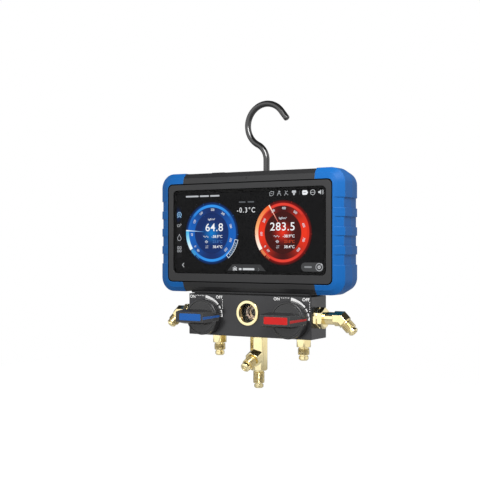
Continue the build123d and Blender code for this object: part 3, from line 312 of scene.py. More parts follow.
# points round an axis: the origin, plus the radius times the cosine sideways and times the sine upwards, plus
# the distance along
def roundPoints(axes, distance, radius, angle):
    origin, sideways, upwards, along = axes
    return (origin + (radius * np.cos(angle))[..., None] * sideways
            + (radius * np.sin(angle))[..., None] * upwards + distance[..., None] * along)


def fullTurn(columns):
    return np.linspace(0, 2 * math.pi, columns, endpoint=False)


# radius of a hexagon: half its width across flats over the cosine of the angle from the middle of the flat
def hexRadius(angle, across):
    turn = np.mod(angle, math.pi / 3) - math.pi / 6
    return across / 2 / np.cos(turn)


# flare ends and hexagons, in millimetres: thread, root, nose and bore are widths, and hexEdge is how long the
# turned-down end of a corner is
flare = {
    "thread": 11.1, "root": 8.6, "neck": 1.1, "groove": 1.5, "nose": 9.0, "noseChamfer": 1.2, "noseEdge": 0.2,
    "bore": 5.0, "boreChamfer": 0.25, "lead": 0.5, "rowsPerPitch": 9, "pitch": 1.27, "threadDepth": 0.40,
    "threadFlat": 0.1, "threadSlope": 0.75, "hexEdge": 1.1, "hexRim": 0.15, "hexLip": 0.1, "cornerCut": 0.985,
    "columns": 96, "sharpDegrees": 28,
}


# turned body: the radius follows the profile, cut by a hexagon where a row has a width across flats, less the
# thread's depth times a wave that climbs one pitch per turn; the profile is a closed loop back along the bore
def turnedBody(name, axes, rows, finish, pitch=flare["pitch"], threadDepth=flare["threadDepth"],
               hexTurn=0.0):
    distance, radius, across, thread = np.array(rows)[:, :, None].transpose(1, 0, 2)
    angle = fullTurn(flare["columns"])
    hexagon = hexRadius(angle + math.radians(hexTurn), np.where(across > 0, across, 1000.0))
    wave = np.abs(np.mod(distance / pitch - angle / (2 * math.pi), 1.0) * 2 - 1)
    wave = np.clip((wave - flare["threadFlat"]) / flare["threadSlope"], 0, 1) * thread
    radius = np.minimum(radius + 0 * angle, hexagon) - threadDepth * wave
    points = roundPoints(axes, distance + 0 * angle, radius, angle)
    mesh = newMesh(name, points, gridFaces(len(rows), len(angle), True).tolist())
    # mask for the painted shadow in thread roots: it grows from the crest to the root
    root = mesh.attributes.new("rootShadowMask", "FLOAT", "POINT")
    root.data.foreach_set("value", (wave * threadDepth / flare["threadDepth"]).ravel())
    return finishPiece(name, mesh, "head", finish, flare["sharpDegrees"])


# rings of points joined into a closed body, flat at both ends, its faces turned outwards
def ringBody(name, points):
    rings, columns = points.shape[:2]
    faces = gridFaces(rings, columns, False).tolist()
    faces.append(list(range(columns))[::-1])
    faces.append([(rings - 1) * columns + i for i in range(columns)])
    mesh = newMesh(name, points, faces)
    if meshVolume(mesh) < 0:
        mesh.flip_normals()
    return finishPiece(name, mesh, "head", "brass", flare["sharpDegrees"])


# signed volume: a sixth of the sum of each triangle's corner dotted with the cross of the other two
def meshVolume(mesh):
    mesh.calc_loop_triangles()
    corners = np.empty(len(mesh.loop_triangles) * 3, dtype=np.int32)
    mesh.loop_triangles.foreach_get("vertices", corners)
    points = np.empty(len(mesh.vertices) * 3)
    mesh.vertices.foreach_get("co", points)
    tri = points.reshape(-1, 3)[corners.reshape(-1, 3)]
    return float(np.einsum("ij,ij->i", tri[:, 0], np.cross(tri[:, 1], tri[:, 2])).sum() / 6)


# rows of a flare end, each a distance, radius, width across flats and share of the thread: neck, thread,
# groove and nose, back to the bore
def flareRows(start, threadLength, noseLength):
    f = flare
    threadStart = start + f["neck"]
    threadEnd = threadStart + threadLength
    grooveEnd = threadEnd + f["groove"]
    tip = grooveEnd + noseLength
    root, nose, bore = f["root"] / 2, f["nose"] / 2, f["bore"] / 2
    rows = [(start, root, 0, 0), (threadStart, root, 0, 0)]
    count = int(threadLength / f["pitch"] * f["rowsPerPitch"])
    for step in range(count + 1):
        z = threadStart + threadLength * step / count
        lead = min(f["lead"], z - threadStart, threadEnd - z)
        rows.append((z, f["thread"] / 2 - f["lead"] + lead, 0, min(1.0, lead / f["lead"])))
    return rows + [
        (threadEnd, root - f["lead"], 0, 0), (grooveEnd, root - f["lead"], 0, 0),
        (grooveEnd, nose - f["noseEdge"], 0, 0), (grooveEnd + f["noseEdge"], nose, 0, 0),
        (tip - f["noseChamfer"], nose, 0, 0), (tip, nose - f["noseChamfer"], 0, 0),
        (tip, bore + f["boreChamfer"], 0, 0), (tip - f["boreChamfer"], bore, 0, 0),
    ]


# rows of a hexagonal bar turned down at both ends, where the radius grows evenly from flat to corner
def hexRows(start, length, across):
    flat, corner = across / 2, across / math.sqrt(3) * flare["cornerCut"]
    steps = 4
    climb = [(flare["hexEdge"] * step / steps, flat + (corner - flat) * step / steps)
             for step in range(1, steps + 1)]
    rows = [(0.0, flat - flare["hexRim"]), (flare["hexLip"], flat)] + climb
    end = start + length
    return ([(start + z, radius, across, 0) for z, radius in rows]
            + [(end - z, radius, across, 0) for z, radius in rows[::-1]])


# the brass fittings, in millimetres and degrees
fittings = {
    "port": {"hexAcross": 13.0, "hexLength": 9.2, "thread": 6.0, "nose": 3.8, "spigot": 6.0},
    "tee": {"hexAcross": 14.6, "hexLength": 33.3, "thread": 10.9, "nose": 3.3, "spigot": 6.0},
    "branch": {"hexAcross": 14.3, "hexLength": 12.0, "thread": 7.6, "nose": 3.8, "start": 2.6,
               "hexTurn": 30.0},
    "portX": 46.2, "portY": -11.3, "teeY": -15.0, "teeTurn": -6.0, "branchDrop": 17.6, "branchAngle": 27.0,
    "spigot": 10.0,
}
elbow = {
    "x": 66.3, "y": -25.0, "z": -200.45, "nutLength": 9.3, "nutOverlap": 1.0,
    "shank": {"left": 0.4, "right": 9.3}, "body": 7.0, "hex": 12.0, "tube": 11.5, "innerShare": 0.6,
    "angle": 45.0, "stub": 5.2, "bevel": 0.35, "overlap": 1.5, "thread": 6.6, "nose": 3.0,
}
sides = (("left", -1), ("right", 1))


# straight fitting: a spigot or a plain start, a hexagonal bar, then a flare end
def straightFitting(name, axes, hexAcross, hexLength, thread, nose, start=0.0, spigot=0.0, hexTurn=0.0):
    bore, neck = flare["bore"] / 2, fittings["spigot"] / 2
    rows = [(start, bore, 0, 0)]
    if spigot > 0:
        rows = [(-spigot, bore, 0, 0), (-spigot, neck, 0, 0), (0, neck, 0, 0)]
    rows += hexRows(start, hexLength - start, hexAcross) + flareRows(hexLength, thread, nose)
    return turnedBody(name, axes, rows, "brass", hexTurn=hexTurn)


# how far a flare end reaches from where it starts
def flareReach(thread, nose):
    return flare["neck"] + thread + flare["groove"] + nose


def buildFittings():
    f, bottom = fittings, place["blockBottom"]
    for side, sign in sides:
        axes = placeAxes((sign * f["portX"], f["portY"], bottom), (1, 0, 0), (0, 0, -1))
        port = straightFitting("port" + side.title(), axes, **f["port"])
        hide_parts("port_" + side)
    turn, drop = math.radians(f["teeTurn"]), math.radians(f["branchAngle"])
    forward = (math.sin(turn), -math.cos(turn), 0)
    body = straightFitting("centreTee", placeAxes((0, f["teeY"], bottom), forward, (0, 0, -1)), **f["tee"])
    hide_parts("centre_tee")
    along = (forward[0] * math.cos(drop), forward[1] * math.cos(drop), -math.sin(drop))
    sideways = (math.cos(turn), math.sin(turn), 0)
    axes = placeAxes((0, f["teeY"], bottom - f["branchDrop"]), sideways, along)
    b = f["branch"]
    branch = straightFitting("centreTeeBranch", axes, **b)
    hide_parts("centre_tee")
    buildCore("coreBranch", axes, b["hexLength"] + flareReach(b["thread"], b["nose"]))
    for side, sign in sides:
        buildElbow(side, sign)


# elbow: a tube and a hexagonal section carried along two straight runs, cut on the plane that halves the bend
def buildElbow(side, sign):
    e = elbow
    angle = fullTurn(flare["columns"])
    bend = math.radians(e["angle"])
    first, second = np.array((sign, 0.0, 0.0)), np.array((sign * math.cos(bend), 0.0, -math.sin(bend)))
    upFirst, upSecond = np.array((0, 0, 1.0)), np.array((sign * math.sin(bend), 0, math.cos(bend)))
    sideways = np.array((0, 1.0, 0)) * -sign
    tubeStart = e["x"] + e["nutLength"] - e["nutOverlap"]
    hexStart = e["x"] + e["nutLength"] + e["shank"][side]
    hexagon = np.minimum(hexRadius(angle + math.pi / 6, e["hex"]),
                         e["hex"] / math.sqrt(3) * flare["cornerCut"])
    tube = np.full(len(angle), e["tube"] / 2)
    narrow, inner = tube * e["innerShare"], np.minimum(hexagon, tube)

    def onAxis(distance):
        return np.array((sign * distance, e["y"], e["z"]))

    def ring(centre, radius, up):
        return centre + (radius * np.cos(angle))[:, None] * sideways + (radius * np.sin(angle))[:, None] * up

    corner = onAxis(hexStart + e["body"])
    mitre = (first + second) / np.linalg.norm(first + second)
    section = ring(corner, hexagon, upFirst)
    reach = ((corner - section) @ mitre) / first.dot(mitre)
    stubEnd = corner + second * e["stub"]
    piece = ringBody("elbowBody" + side.title(), np.stack([
        ring(onAxis(tubeStart), narrow, upFirst), ring(onAxis(tubeStart), tube, upFirst),
        ring(onAxis(hexStart - 0.01), tube, upFirst), ring(onAxis(hexStart), inner, upFirst),
        ring(onAxis(hexStart + e["bevel"]), hexagon, upFirst), section + reach[:, None] * first,
        ring(stubEnd - second * e["bevel"], hexagon, upSecond), ring(stubEnd, inner, upSecond),
        ring(stubEnd, narrow, upSecond),
    ]))
    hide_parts("elbow_" + side)
    rows = [(-e["overlap"], flare["bore"] / 2, 0, 0), (-e["overlap"], flare["root"] / 2, 0, 0)]
    rows += flareRows(0, e["thread"], e["nose"])
    axes = placeAxes(stubEnd, (0, 1, 0), second)
    end = turnedBody("elbowEnd" + side.title(), axes, rows, "brass")
    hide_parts("elbow_" + side)
    buildCore("core" + side.title(), axes, flareReach(e["thread"], e["nose"]))


# valve core inside a flare end: rings of distance behind the tip and radius
core = {
    "columns": 32,
    "rings": ((4.0, 2.3), (0.55, 2.3), (0.45, 2.15), (0.45, 1.25), (0.9, 1.1), (0.9, 0.6), (0.3, 0.6),
              (0.2, 0.45)),
}


def buildCore(name, axes, tip):
    behind, radius = np.array(core["rings"])[:, :, None].transpose(1, 0, 2)
    angle = fullTurn(core["columns"])
    return ringBody(name, roundPoints(axes, tip - behind + 0 * angle, radius + 0 * angle, angle))


buildFittings()
print("fittings built")

capitalShare = 0.73      # height of a capital as a share of the letters' size


# point or points about a centre: the radius times the cosine across and times the sine up
def polarPoint(centre, radius, degrees):
    turn = np.radians(degrees)
    return np.stack([centre[0] + radius * np.cos(turn), centre[1] + radius * np.sin(turn)], axis=-1)


def beside(centre, across, up):
    return centre[0] + across, centre[1] + up


# a sheet gathers flat shapes in millimetres across and up; each has a layer, and higher ones lie further out
class Sheet:
    def __init__(self):
        self.points, self.faces, self.glow, self.count = [], [], [], 0

    # points with their faces, and one colour for all of them or one for each
    def add(self, xz, faces, colour, layer):
        xz = np.asarray(xz, dtype=float)
        self.points.append(np.column_stack([xz, np.full(len(xz), layer)]))
        self.faces += [[index + self.count for index in face] for face in faces]
        self.glow.append(np.broadcast_to(np.asarray(colour, dtype=float), (len(xz), 3)))
        self.count += len(xz)

    # closed outline filled as one face
    def area(self, outline, colour, layer):
        self.add(outline, [list(range(len(outline)))], colour, layer)

    # grid of rings round one middle point, which stands first in the grid as a ring of its own
    def polar(self, xz, colour, layer):
        rings, columns = xz.shape[:2]
        step = np.arange(columns)
        fan = np.column_stack([0 * step, 1 + step, 1 + (step + 1) % columns])
        faces = fan.tolist() + (gridFaces(rings - 1, columns, False) + 1).tolist()
        self.add(np.vstack([xz[0, :1], xz[1:].reshape(-1, 2)]), faces,
                 np.vstack([colour[0, :1], colour[1:].reshape(-1, 3)]), layer)

    # line through points: both edges stand off along the middle of a corner's two normals, by half the width
    # over the cosine of half the turn
    def line(self, path, width, colour, layer, closed=False):
        path = np.asarray(path, dtype=float)
        if closed:
            path = np.vstack([path, path[:1]])
        run = np.diff(path, axis=0)
        run /= np.linalg.norm(run, axis=1)[:, None]
        normal = np.column_stack([-run[:, 1], run[:, 0]])
        first, last = (normal[-1:], normal[:1]) if closed else (normal[:1], normal[-1:])
        before, after = np.vstack([first, normal]), np.vstack([normal, last])
        joint = before + after
        joint /= np.maximum(np.linalg.norm(joint, axis=1), 1e-6)[:, None]
        stretch = 1 / np.maximum((joint * after).sum(axis=1), 0.4)
        offset = joint * (stretch * np.asarray(width, dtype=float) / 2)[:, None]
        n = len(path)
        colour = np.asarray(colour, dtype=float)
        if colour.ndim == 2:
            colour = np.vstack([colour, colour])
        self.add(np.vstack([path + offset, path - offset]),
                 [[n + i, n + i + 1, i + 1, i] for i in range(n - 1)], colour, layer)

    # arc about a centre; a list of colours blends evenly along it
    def arc(self, centre, radius, fromDegrees, toDegrees, width, colour, layer, steps=48):
        if isinstance(colour, list):
            stops, where = range(len(colour)), np.linspace(0, len(colour) - 1, steps)
            colour = np.column_stack([np.interp(where, stops, channel) for channel in zip(*colour)])
        path = polarPoint(centre, radius, np.linspace(fromDegrees, toDegrees, steps))
        self.line(path, width, colour, layer)

    def disc(self, centre, radius, colour, layer, steps=32):
        self.area(polarPoint(centre, radius, np.linspace(0, 360, steps, endpoint=False)), colour, layer)

    def circle(self, centre, radius, width, colour, layer, steps):
        self.arc(centre, radius, 0, 360, width, colour, layer, steps)

    # strokes round a centre, each a width and its points: one that ends where it starts is closed, and width
    # 0 fills it
    def sign(self, centre, colour, layer, *strokes):
        for width, *points in strokes:
            closed = points[0] == points[-1]
            path = np.array(points[:-1] if closed else points, dtype=float) + centre
            if width == 0:
                self.area(path, colour, layer)
            else:
                self.line(path, width, colour, layer, closed)

    # box with a quarter turn at each corner, filled or drawn as a line
    def roundedBox(self, centre, width, height, radius, colour, layer, lineWidth=None):
        corners = []
        for quarter, (sx, sz) in enumerate(((1, 1), (-1, 1), (-1, -1), (1, -1))):
            middle = (centre[0] + sx * (width / 2 - radius), centre[1] + sz * (height / 2 - radius))
            corners.append(polarPoint(middle, radius, np.linspace(quarter * 90, quarter * 90 + 90, 7)))
        outline = np.vstack(corners)
        if lineWidth is None:
            self.area(outline, colour, layer)
        else:
            self.line(outline, lineWidth, colour, layer, closed=True)

    # words: height of a capital in millimetres, centred, turned about their middle
    def words(self, text, height, centre, colour, layer, turn=0.0, squeeze=1.0, bold=0.0, align="CENTER",
              spacing=1.0):
        curve = bpy.data.curves.new("words", "FONT")
        curve.body = text
        curve.size = height / capitalShare
        curve.align_x = align
        curve.align_y = "CENTER"
        curve.offset = bold
        curve.space_character = spacing
        holder = addObject("words", curve)
        flat = bpy.data.meshes.new_from_object(holder.evaluated_get(bpy.context.evaluated_depsgraph_get()))
        bpy.data.objects.remove(holder)
        bpy.data.curves.remove(curve)
        points = np.empty(len(flat.vertices) * 3)
        flat.vertices.foreach_get("co", points)
        points = points.reshape(-1, 3)[:, :2] * (squeeze, 1.0)
        angle = math.radians(turn)
        spin = np.array(((math.cos(angle), math.sin(angle)), (-math.sin(angle), math.cos(angle))))
        self.add(points @ spin + np.array(centre), [list(p.vertices) for p in flat.polygons], colour, layer)
        bpy.data.meshes.remove(flat)

    # finished mesh: upright at a depth, each layer a step further forwards, its faces turned forwards
    def build(self, name, depthY, centreX, centreZ, layerStep, finish):
        flat = np.vstack(self.points)
        points = np.column_stack([flat[:, 0] + centreX, depthY - flat[:, 2] * layerStep,
                                  flat[:, 1] + centreZ])
        mesh = newMesh(name, points, self.faces)
        normals = np.empty(len(mesh.polygons) * 3)
        mesh.polygons.foreach_get("normal", normals)
        wrong = set(np.nonzero(normals.reshape(-1, 3)[:, 1] > 0)[0].tolist())
        if wrong:
            faces = [face[::-1] if index in wrong else face for index, face in enumerate(self.faces)]
            bpy.data.meshes.remove(mesh)
            mesh = newMesh(name, points, faces)
        glow = mesh.color_attributes.new("glow", "FLOAT_COLOR", "POINT")
        shades = np.column_stack([np.vstack(self.glow), np.ones(self.count)])
        glow.data.foreach_set("color", shades.astype(np.float32).ravel())
        return finishPiece(name, mesh, "head", finish)


# colours of the screen's signs and words
ink = {
    "white": (0.92, 0.94, 0.96), "row": (0.88, 0.90, 0.93), "battery": (0.85, 0.87, 0.90),
    "cell": (0.05, 0.05, 0.06), "frame": (0.80, 0.88, 0.95), "unit": (0.70, 0.74, 0.80),
    "number": (0.68, 0.72, 0.78), "rowMark": (0.66, 0.70, 0.76), "clock": (0.66, 0.68, 0.70),
    "pale": (0.62, 0.64, 0.66), "bar": (0.50, 0.52, 0.55), "grey": (0.42, 0.44, 0.46),
    "dimGrey": (0.16, 0.17, 0.18), "dimBar": (0.10, 0.11, 0.12), "active": (0.35, 0.66, 1.0),
    "cloud": (0.55, 0.57, 0.60), "cloudTip": (0.70, 0.72, 0.75),
}

dials = {
    "low": {
        "centre": (-39.4, -1.5),
        "core": (0.00, 0.20, 0.62), "disc": (0.004, 0.024, 0.13), "band": (0.004, 0.115, 0.50),
        "bandDark": (0.006, 0.024, 0.13), "ring": (0.03, 0.30, 0.86), "ringDark": (0.01, 0.12, 0.50),
        "halo": (0.00, 0.035, 0.18), "arc": [(0.01, 0.42, 0.75), (0.35, 0.75, 0.95), (0.95, 1.0, 1.0)],
        "tail": (0.05, 0.30, 0.60), "needle": (0.75, 0.93, 1.0), "needleAngle": 174.5,
        "numbers": (("0", 214), ("-50", 228), ("60", 183), ("120", 150), ("160", 122), ("200", 87),
                    ("240", 55), ("280", 17), ("320", -17), ("350", -44)),
        "big": "64.8", "bigShift": 3.0, "dimRow": (0.05, 0.16, 0.45),
    },
    "high": {
        "centre": (38.1, -1.5),
        "core": (0.86, 0.03, 0.01), "disc": (0.050, 0.004, 0.003), "band": (0.86, 0.035, 0.010),
        "bandDark": (0.055, 0.004, 0.004), "ring": (0.80, 0.050, 0.030), "ringDark": (0.55, 0.015, 0.010),
        "halo": (0.20, 0.002, 0.002), "arc": [(0.90, 0.10, 0.01), (0.95, 0.42, 0.15), (1.0, 0.97, 0.88)],
        "tail": (0.75, 0.22, 0.08), "needle": (1.0, 0.80, 0.62), "needleAngle": 119.5,
        "numbers": (("0", 214), ("-50", 228), ("100", 183), ("200", 150), ("300", 117), ("400", 87),
                    ("500", 55), ("600", 17), ("700", -17), ("800", -44)),
        "big": "283.5", "bigShift": -0.3, "dimRow": (0.55, 0.06, 0.02),
    },
}

# shape of a dial, in millimetres from its middle and degrees from its right
dialShape = {
    "rings": (0, 1.5, 3, 5, 7, 9, 12, 15, 18.6, 18.9, 19.2, 19.4, 22, 24.6, 25.0, 25.6, 26.3, 27.0, 27.5,
              28.2, 29.2, 30.2),
    "columns": 96, "coreReach": 11.0, "discEdge": 18.8, "bandEdge": 19.3, "ringEdge": 24.8, "haloEdge": 27.2,
    "haloEnd": 30.2, "haloFade": 2.6, "arcRadius": 27.6, "arcEnd": 214, "arcWidth": 3.4, "tail": (215.5, 229),
    "tailWidth": 2.6, "dashes": (232, 235, 238), "dashWidth": 2.2, "needleTip": 29.3, "needleRoot": 9.0,
    "needleLean": 3.43775, "needleWidths": (0.35, 1.25), "ticks": 8, "tickStart": -40, "tickSpan": 260,
    "tickInner": 28.4, "tickOuter": 30.0, "tickWidth": 0.3, "numberRadius": 22.4, "numberHeight": 2.3,
    "bigHeight": 7.7, "bigUp": 5.2, "unitHeight": 1.9, "unitUp": 13.3, "rowHeight": 2.6, "rowRight": 12.3,
    "rowMark": -6.5, "rowUp": -3.3, "rowStep": 4.9, "rows": ("-38.9°C", "23.8°C", "38.4°C"),
}


# dial face on a polar grid: the core's light falls as a power of the distance left to its reach, the band
# takes its bright shade by a power of the angle's cosine and the ring by one of its sine, and the halo fades
# evenly outwards
def dialFace(sheet, dial):
    d = dialShape
    r, degrees = np.meshgrid(d["rings"], np.linspace(0, 360, d["columns"], endpoint=False), indexing="ij")
    a, r3 = np.radians(degrees)[..., None], r[..., None]
    side, outer = np.abs(np.cos(a)) ** 2.2, np.abs(np.sin(a)) ** 1.5
    shade = {key: np.array(dial[key]) for key in
             ("core", "disc", "band", "bandDark", "ring", "ringDark", "halo")}

    def between(first, second, share):
        return first * (1 - share) + second * share

    inside = between(shade["disc"], shade["core"], np.clip(1 - r3 / d["coreReach"], 0, 1) ** 1.3)
    band = between(shade["bandDark"], shade["band"], side)
    ring = between(shade["ringDark"], shade["ring"], outer)
    ring = np.where(side > 0.6, band * 0.6 + ring * 0.4, ring)
    fade = np.clip((d["haloEnd"] - r3) / d["haloFade"], 0, 1)
    colour = np.where(r3 < d["bandEdge"], inside * 0.4 + band * 0.3, band)
    colour = np.where(r3 < d["discEdge"], inside, colour)
    colour = np.where(r3 >= d["ringEdge"], ring, colour)
    colour = np.where(r3 > d["haloEdge"], shade["halo"] * fade, colour)
    sheet.polar(polarPoint(dial["centre"], r, degrees), colour, 1)


def dialMarks(sheet, dial):
    d, centre = dialShape, dial["centre"]
    start = dial["needleAngle"]
    sheet.arc(centre, d["arcRadius"], start, d["arcEnd"], d["arcWidth"], dial["arc"], 2)
    sheet.arc(centre, d["arcRadius"], *d["tail"], d["tailWidth"], dial["tail"], 2, 16)
    for turn in d["dashes"]:
        sheet.arc(centre, d["arcRadius"], turn, turn + 1, d["dashWidth"], dial["tail"], 2, 3)
    root = polarPoint(centre, d["needleRoot"], start - d["needleLean"])
    tip = polarPoint(centre, d["needleTip"], start)
    sheet.line([root, tip], d["needleWidths"], [dial["core"], dial["needle"]], 3)
    for turn in np.linspace(d["tickStart"], d["tickStart"] + d["tickSpan"], d["ticks"]):
        tick = [polarPoint(centre, radius, turn) for radius in (d["tickInner"], d["tickOuter"])]
        sheet.line(tick, d["tickWidth"], np.array(dial["ring"]) * 0.5, 3)
    for text, degrees in dial["numbers"]:
        sheet.words(text, d["numberHeight"], polarPoint(centre, d["numberRadius"], degrees), ink["number"], 3,
                    turn=degrees - 90, squeeze=0.85, bold=0.05)
    sheet.words(dial["big"], d["bigHeight"], beside(centre, dial["bigShift"], d["bigUp"]), ink["white"], 4,
                squeeze=1.05, bold=0.06, spacing=1.08)
    sheet.words("kgf/cm²", d["unitHeight"], beside(centre, 0.0, d["unitUp"]), ink["unit"], 4, squeeze=1.05,
                bold=0.04)
    for row, text in enumerate(d["rows"]):
        z = d["rowUp"] - row * d["rowStep"]
        sheet.words(text, d["rowHeight"], beside(centre, d["rowRight"], z),
                    dial["dimRow"] if row == 1 else ink["row"], 4, squeeze=1.10, bold=0.05, align="RIGHT")
        rowMark(sheet, row, beside(centre, d["rowMark"], z), ink["rowMark"])


# small sign before each row: a wave, a pipe and a pair of arrows
def rowMark(sheet, kind, centre, colour):
    if kind == 0:
        t = np.linspace(-3, 3, 19)
        sheet.sign(centre, colour, 4, (0.4, *zip(t, 0.7 * np.sin(t * 2.1))))
    elif kind == 1:
        sheet.sign(centre, colour, 4, (0.45, (-1.0, 0), (2.6, 0)))
        sheet.circle(beside(centre, 0.8, 0), 1.1, 0.4, colour, 4, 18)
    else:
        sheet.sign(centre, colour, 4, (0.35, (-0.2, 0.8), (2.6, 0.8), (1.9, 1.4)),
                   (0.35, (2.6, -0.8), (-0.2, -0.8), (0.5, -1.4)))


# boxed part of the low dial's ring with dashes in it
rangeBox = {
    "start": -13, "end": -51, "middle": 28.6, "width": 3.4, "edges": (26.9, 30.3), "ends": (26.7, 30.5),
    "line": 0.5, "dashes": 7, "dashStart": -18.5, "dashStep": 4.2, "dashLength": 2.0, "dashWidth": 1.6,
    "fill": (0.0, 0.02, 0.09), "dashInk": (0.30, 0.45, 0.60),
}


def drawRangeBox(sheet):
    b, centre = rangeBox, dials["low"]["centre"]
    sheet.arc(centre, b["middle"], b["start"], b["end"], b["width"], b["fill"], 3, 24)
    for radius in b["edges"]:
        sheet.arc(centre, radius, b["start"], b["end"], b["line"], ink["frame"], 4, 24)
    for degrees in (b["start"], b["end"]):
        sheet.line([polarPoint(centre, radius, degrees) for radius in b["ends"]], b["line"], ink["frame"], 4)
    for step in range(b["dashes"]):
        turn = b["dashStart"] - step * b["dashStep"]
        sheet.arc(centre, b["middle"], turn, turn - b["dashLength"], b["dashWidth"], b["dashInk"], 4, 4)


# signs in the top right corner, by their place across
topSigns = {
    "height": 34.6,
    "across": {"tag": 26.4, "peak": 34.3, "fork": 41.6, "cloud": 49.7, "divider": 55.5, "battery": 60.9,
               "clock": 68.8, "speaker": 76.6},
}


def drawTopSigns(sheet):
    spot = {key: (x, topSigns["height"]) for key, x in topSigns["across"].items()}
    grey, pale = ink["grey"], ink["pale"]
    sheet.sign(spot["tag"], grey, 2,
               (0.42, (-1.9, -1.9), (-2.3, 0.6), (-0.4, 2.0), (2.2, 1.7), (2.0, -0.8), (0.2, -2.1),
                (-1.9, -1.9)),
               (0.4, (-1.0, -0.2), (0.9, 0.3)))
    sheet.sign(spot["peak"], grey, 2, (0.45, (-2.0, -2.2), (-0.2, 2.4), (1.9, -2.2)),
               (0.4, (-1.1, -0.3), (1.1, -0.3)))
    sheet.disc(beside(spot["peak"], 0.6, 1.6), 0.55, grey, 2, 12)
    sheet.sign(spot["fork"], grey, 2, (0.45, (-1.9, -2.1), (-0.3, 0.2), (-1.2, 2.3)),
               (0.45, (-0.3, 0.2), (2.1, -1.9)), (0.4, (0.2, 1.2), (1.8, 2.0)))
    sheet.roundedBox(beside(spot["cloud"], 0, 1.1), 4.2, 2.2, 0.5, ink["cloud"], 2)
    sheet.sign(spot["cloud"], ink["cloudTip"], 2, (0, (-1.3, -0.4), (1.3, -0.4), (0, -2.4)))
    sheet.sign(spot["divider"], ink["dimGrey"], 2, (0.2, (0, -1.6), (0, 1.6)))
    sheet.roundedBox(beside(spot["battery"], -0.2, 0), 5.0, 4.2, 1.0, ink["battery"], 2)
    sheet.roundedBox(beside(spot["battery"], 2.6, 0), 0.7, 1.7, 0.3, ink["battery"], 2)
    sheet.sign(spot["battery"], ink["cell"], 3, (0.45, (-1.6, 0.1), (1.2, 0.1)))
    sheet.circle(spot["clock"], 2.3, 0.42, ink["clock"], 2, 30)
    sheet.sign(spot["clock"], ink["clock"], 2, (0.36, (-2.2, 0), (2.2, 0)), (0.5, (0, 2.4), (0, 3.1)))
    sheet.sign(spot["speaker"], pale, 2,
               (0, (-2.3, 0.8), (-1.1, 0.8), (0.4, 2.1), (0.4, -2.1), (-1.1, -0.8), (-2.3, -0.8)))
    for radius, steps in ((1.7, 12), (2.7, 14)):
        sheet.arc(beside(spot["speaker"], 0.2, 0), radius, -50, 50, 0.4, pale, 2, steps)


# strip at the left edge: four signs one above another, and a soft light behind the first
sideStrip = {
    "middle": (-78.6, 0.0), "width": 10.0, "height": 50.0, "shade": (0.006, 0.006, 0.007), "signX": -76.7,
    "signZ": (16.9, 6.0, -5.6, -16.9), "lightMiddle": np.array((-78.2, 16.8)), "lightReach": 6.0,
    "lightStretch": np.array((0.8, 1.5)), "lightLeft": -82.4,
    "light": (0.0, 0.022, 0.12), "backArrow": ((-71.2, -30.2), (-73.0, -32.2), (-71.2, -34.2)),
}


def drawSideStrip(sheet):
    s = sideStrip
    sheet.roundedBox(s["middle"], s["width"], s["height"], 1.0, s["shade"], 1)
    # the light is an oval of circles squeezed across and stretched up, which falls as a power of the radius
    r, a = np.meshgrid(np.linspace(0, s["lightReach"], 7), fullTurn(40), indexing="ij")
    xz = s["lightMiddle"] + s["lightStretch"] * np.stack([r * np.cos(a), r * np.sin(a)], axis=-1)
    xz[..., 0] = np.maximum(xz[..., 0], s["lightLeft"])
    share = np.clip(1 - r / s["lightReach"], 0, 1)[..., None] ** 1.5
    sheet.polar(xz, share * np.array(s["light"]), 2)
    gauge, valve, drop, tiles = [(s["signX"], z) for z in s["signZ"]]
    sheet.arc(gauge, 2.3, -55, 235, 0.5, ink["active"], 3, 30)
    sheet.circle(gauge, 0.8, 0.4, ink["active"], 3, 16)
    sheet.sign(gauge, ink["active"], 3, (0.45, (-2.3, -2.8), (-1.2, -2.1), (1.2, -2.1), (2.3, -2.8)))
    sheet.sign(valve, ink["grey"], 2,
               (0.42, (-2.3, -0.9), (-2.3, 1.0), (0.5, 1.0), (0.5, -0.9), (-2.3, -0.9)),
               (0.42, (0.5, 0), (2.3, 1.1), (1.2, 2.1)))
    # the drop is an arc below and a point above
    t = np.linspace(-math.pi * 0.17, math.pi * 1.17, 26)
    bowl = list(zip(2.1 * np.cos(t), -0.8 - 2.1 * np.sin(t)))
    sheet.sign(drop, ink["bar"], 2, (0.42, *bowl, (0, 3.2), bowl[0]))
    for dx in (-1.35, 1.35):
        for dz in (-1.6, 1.6):
            sheet.roundedBox(beside(tiles, dx, dz), 1.7, 2.0, 0.4, ink["bar"], 2, 0.4)
    sheet.line(s["backArrow"], 0.6, ink["pale"], 2)


# bars in place of titles, each by its left end and length, and the reading between the dials
titles = {
    "height": 34.2, "bars": ((-69.0, 14.8), (-52.8, 10.4), (-41.0, 10.6)),
    "dimHeight": 27.5, "dimBars": ((-5.2, 7.4), (4.2, 7.0)), "reading": "-0.3°C", "readingHeight": 4.9,
    "readingPlace": (-1.1, 19.7),
}


def drawTitles(sheet):
    t = titles
    for start, length in t["bars"]:
        sheet.roundedBox((start + length / 2, t["height"]), length, 1.5, 0.7, ink["bar"], 2)
    for middle, length in t["dimBars"]:
        sheet.roundedBox((middle, t["dimHeight"]), length, 1.3, 0.6, ink["dimBar"], 2)
    sheet.words(t["reading"], t["readingHeight"], t["readingPlace"], ink["white"], 2, squeeze=0.90,
                spacing=1.28)


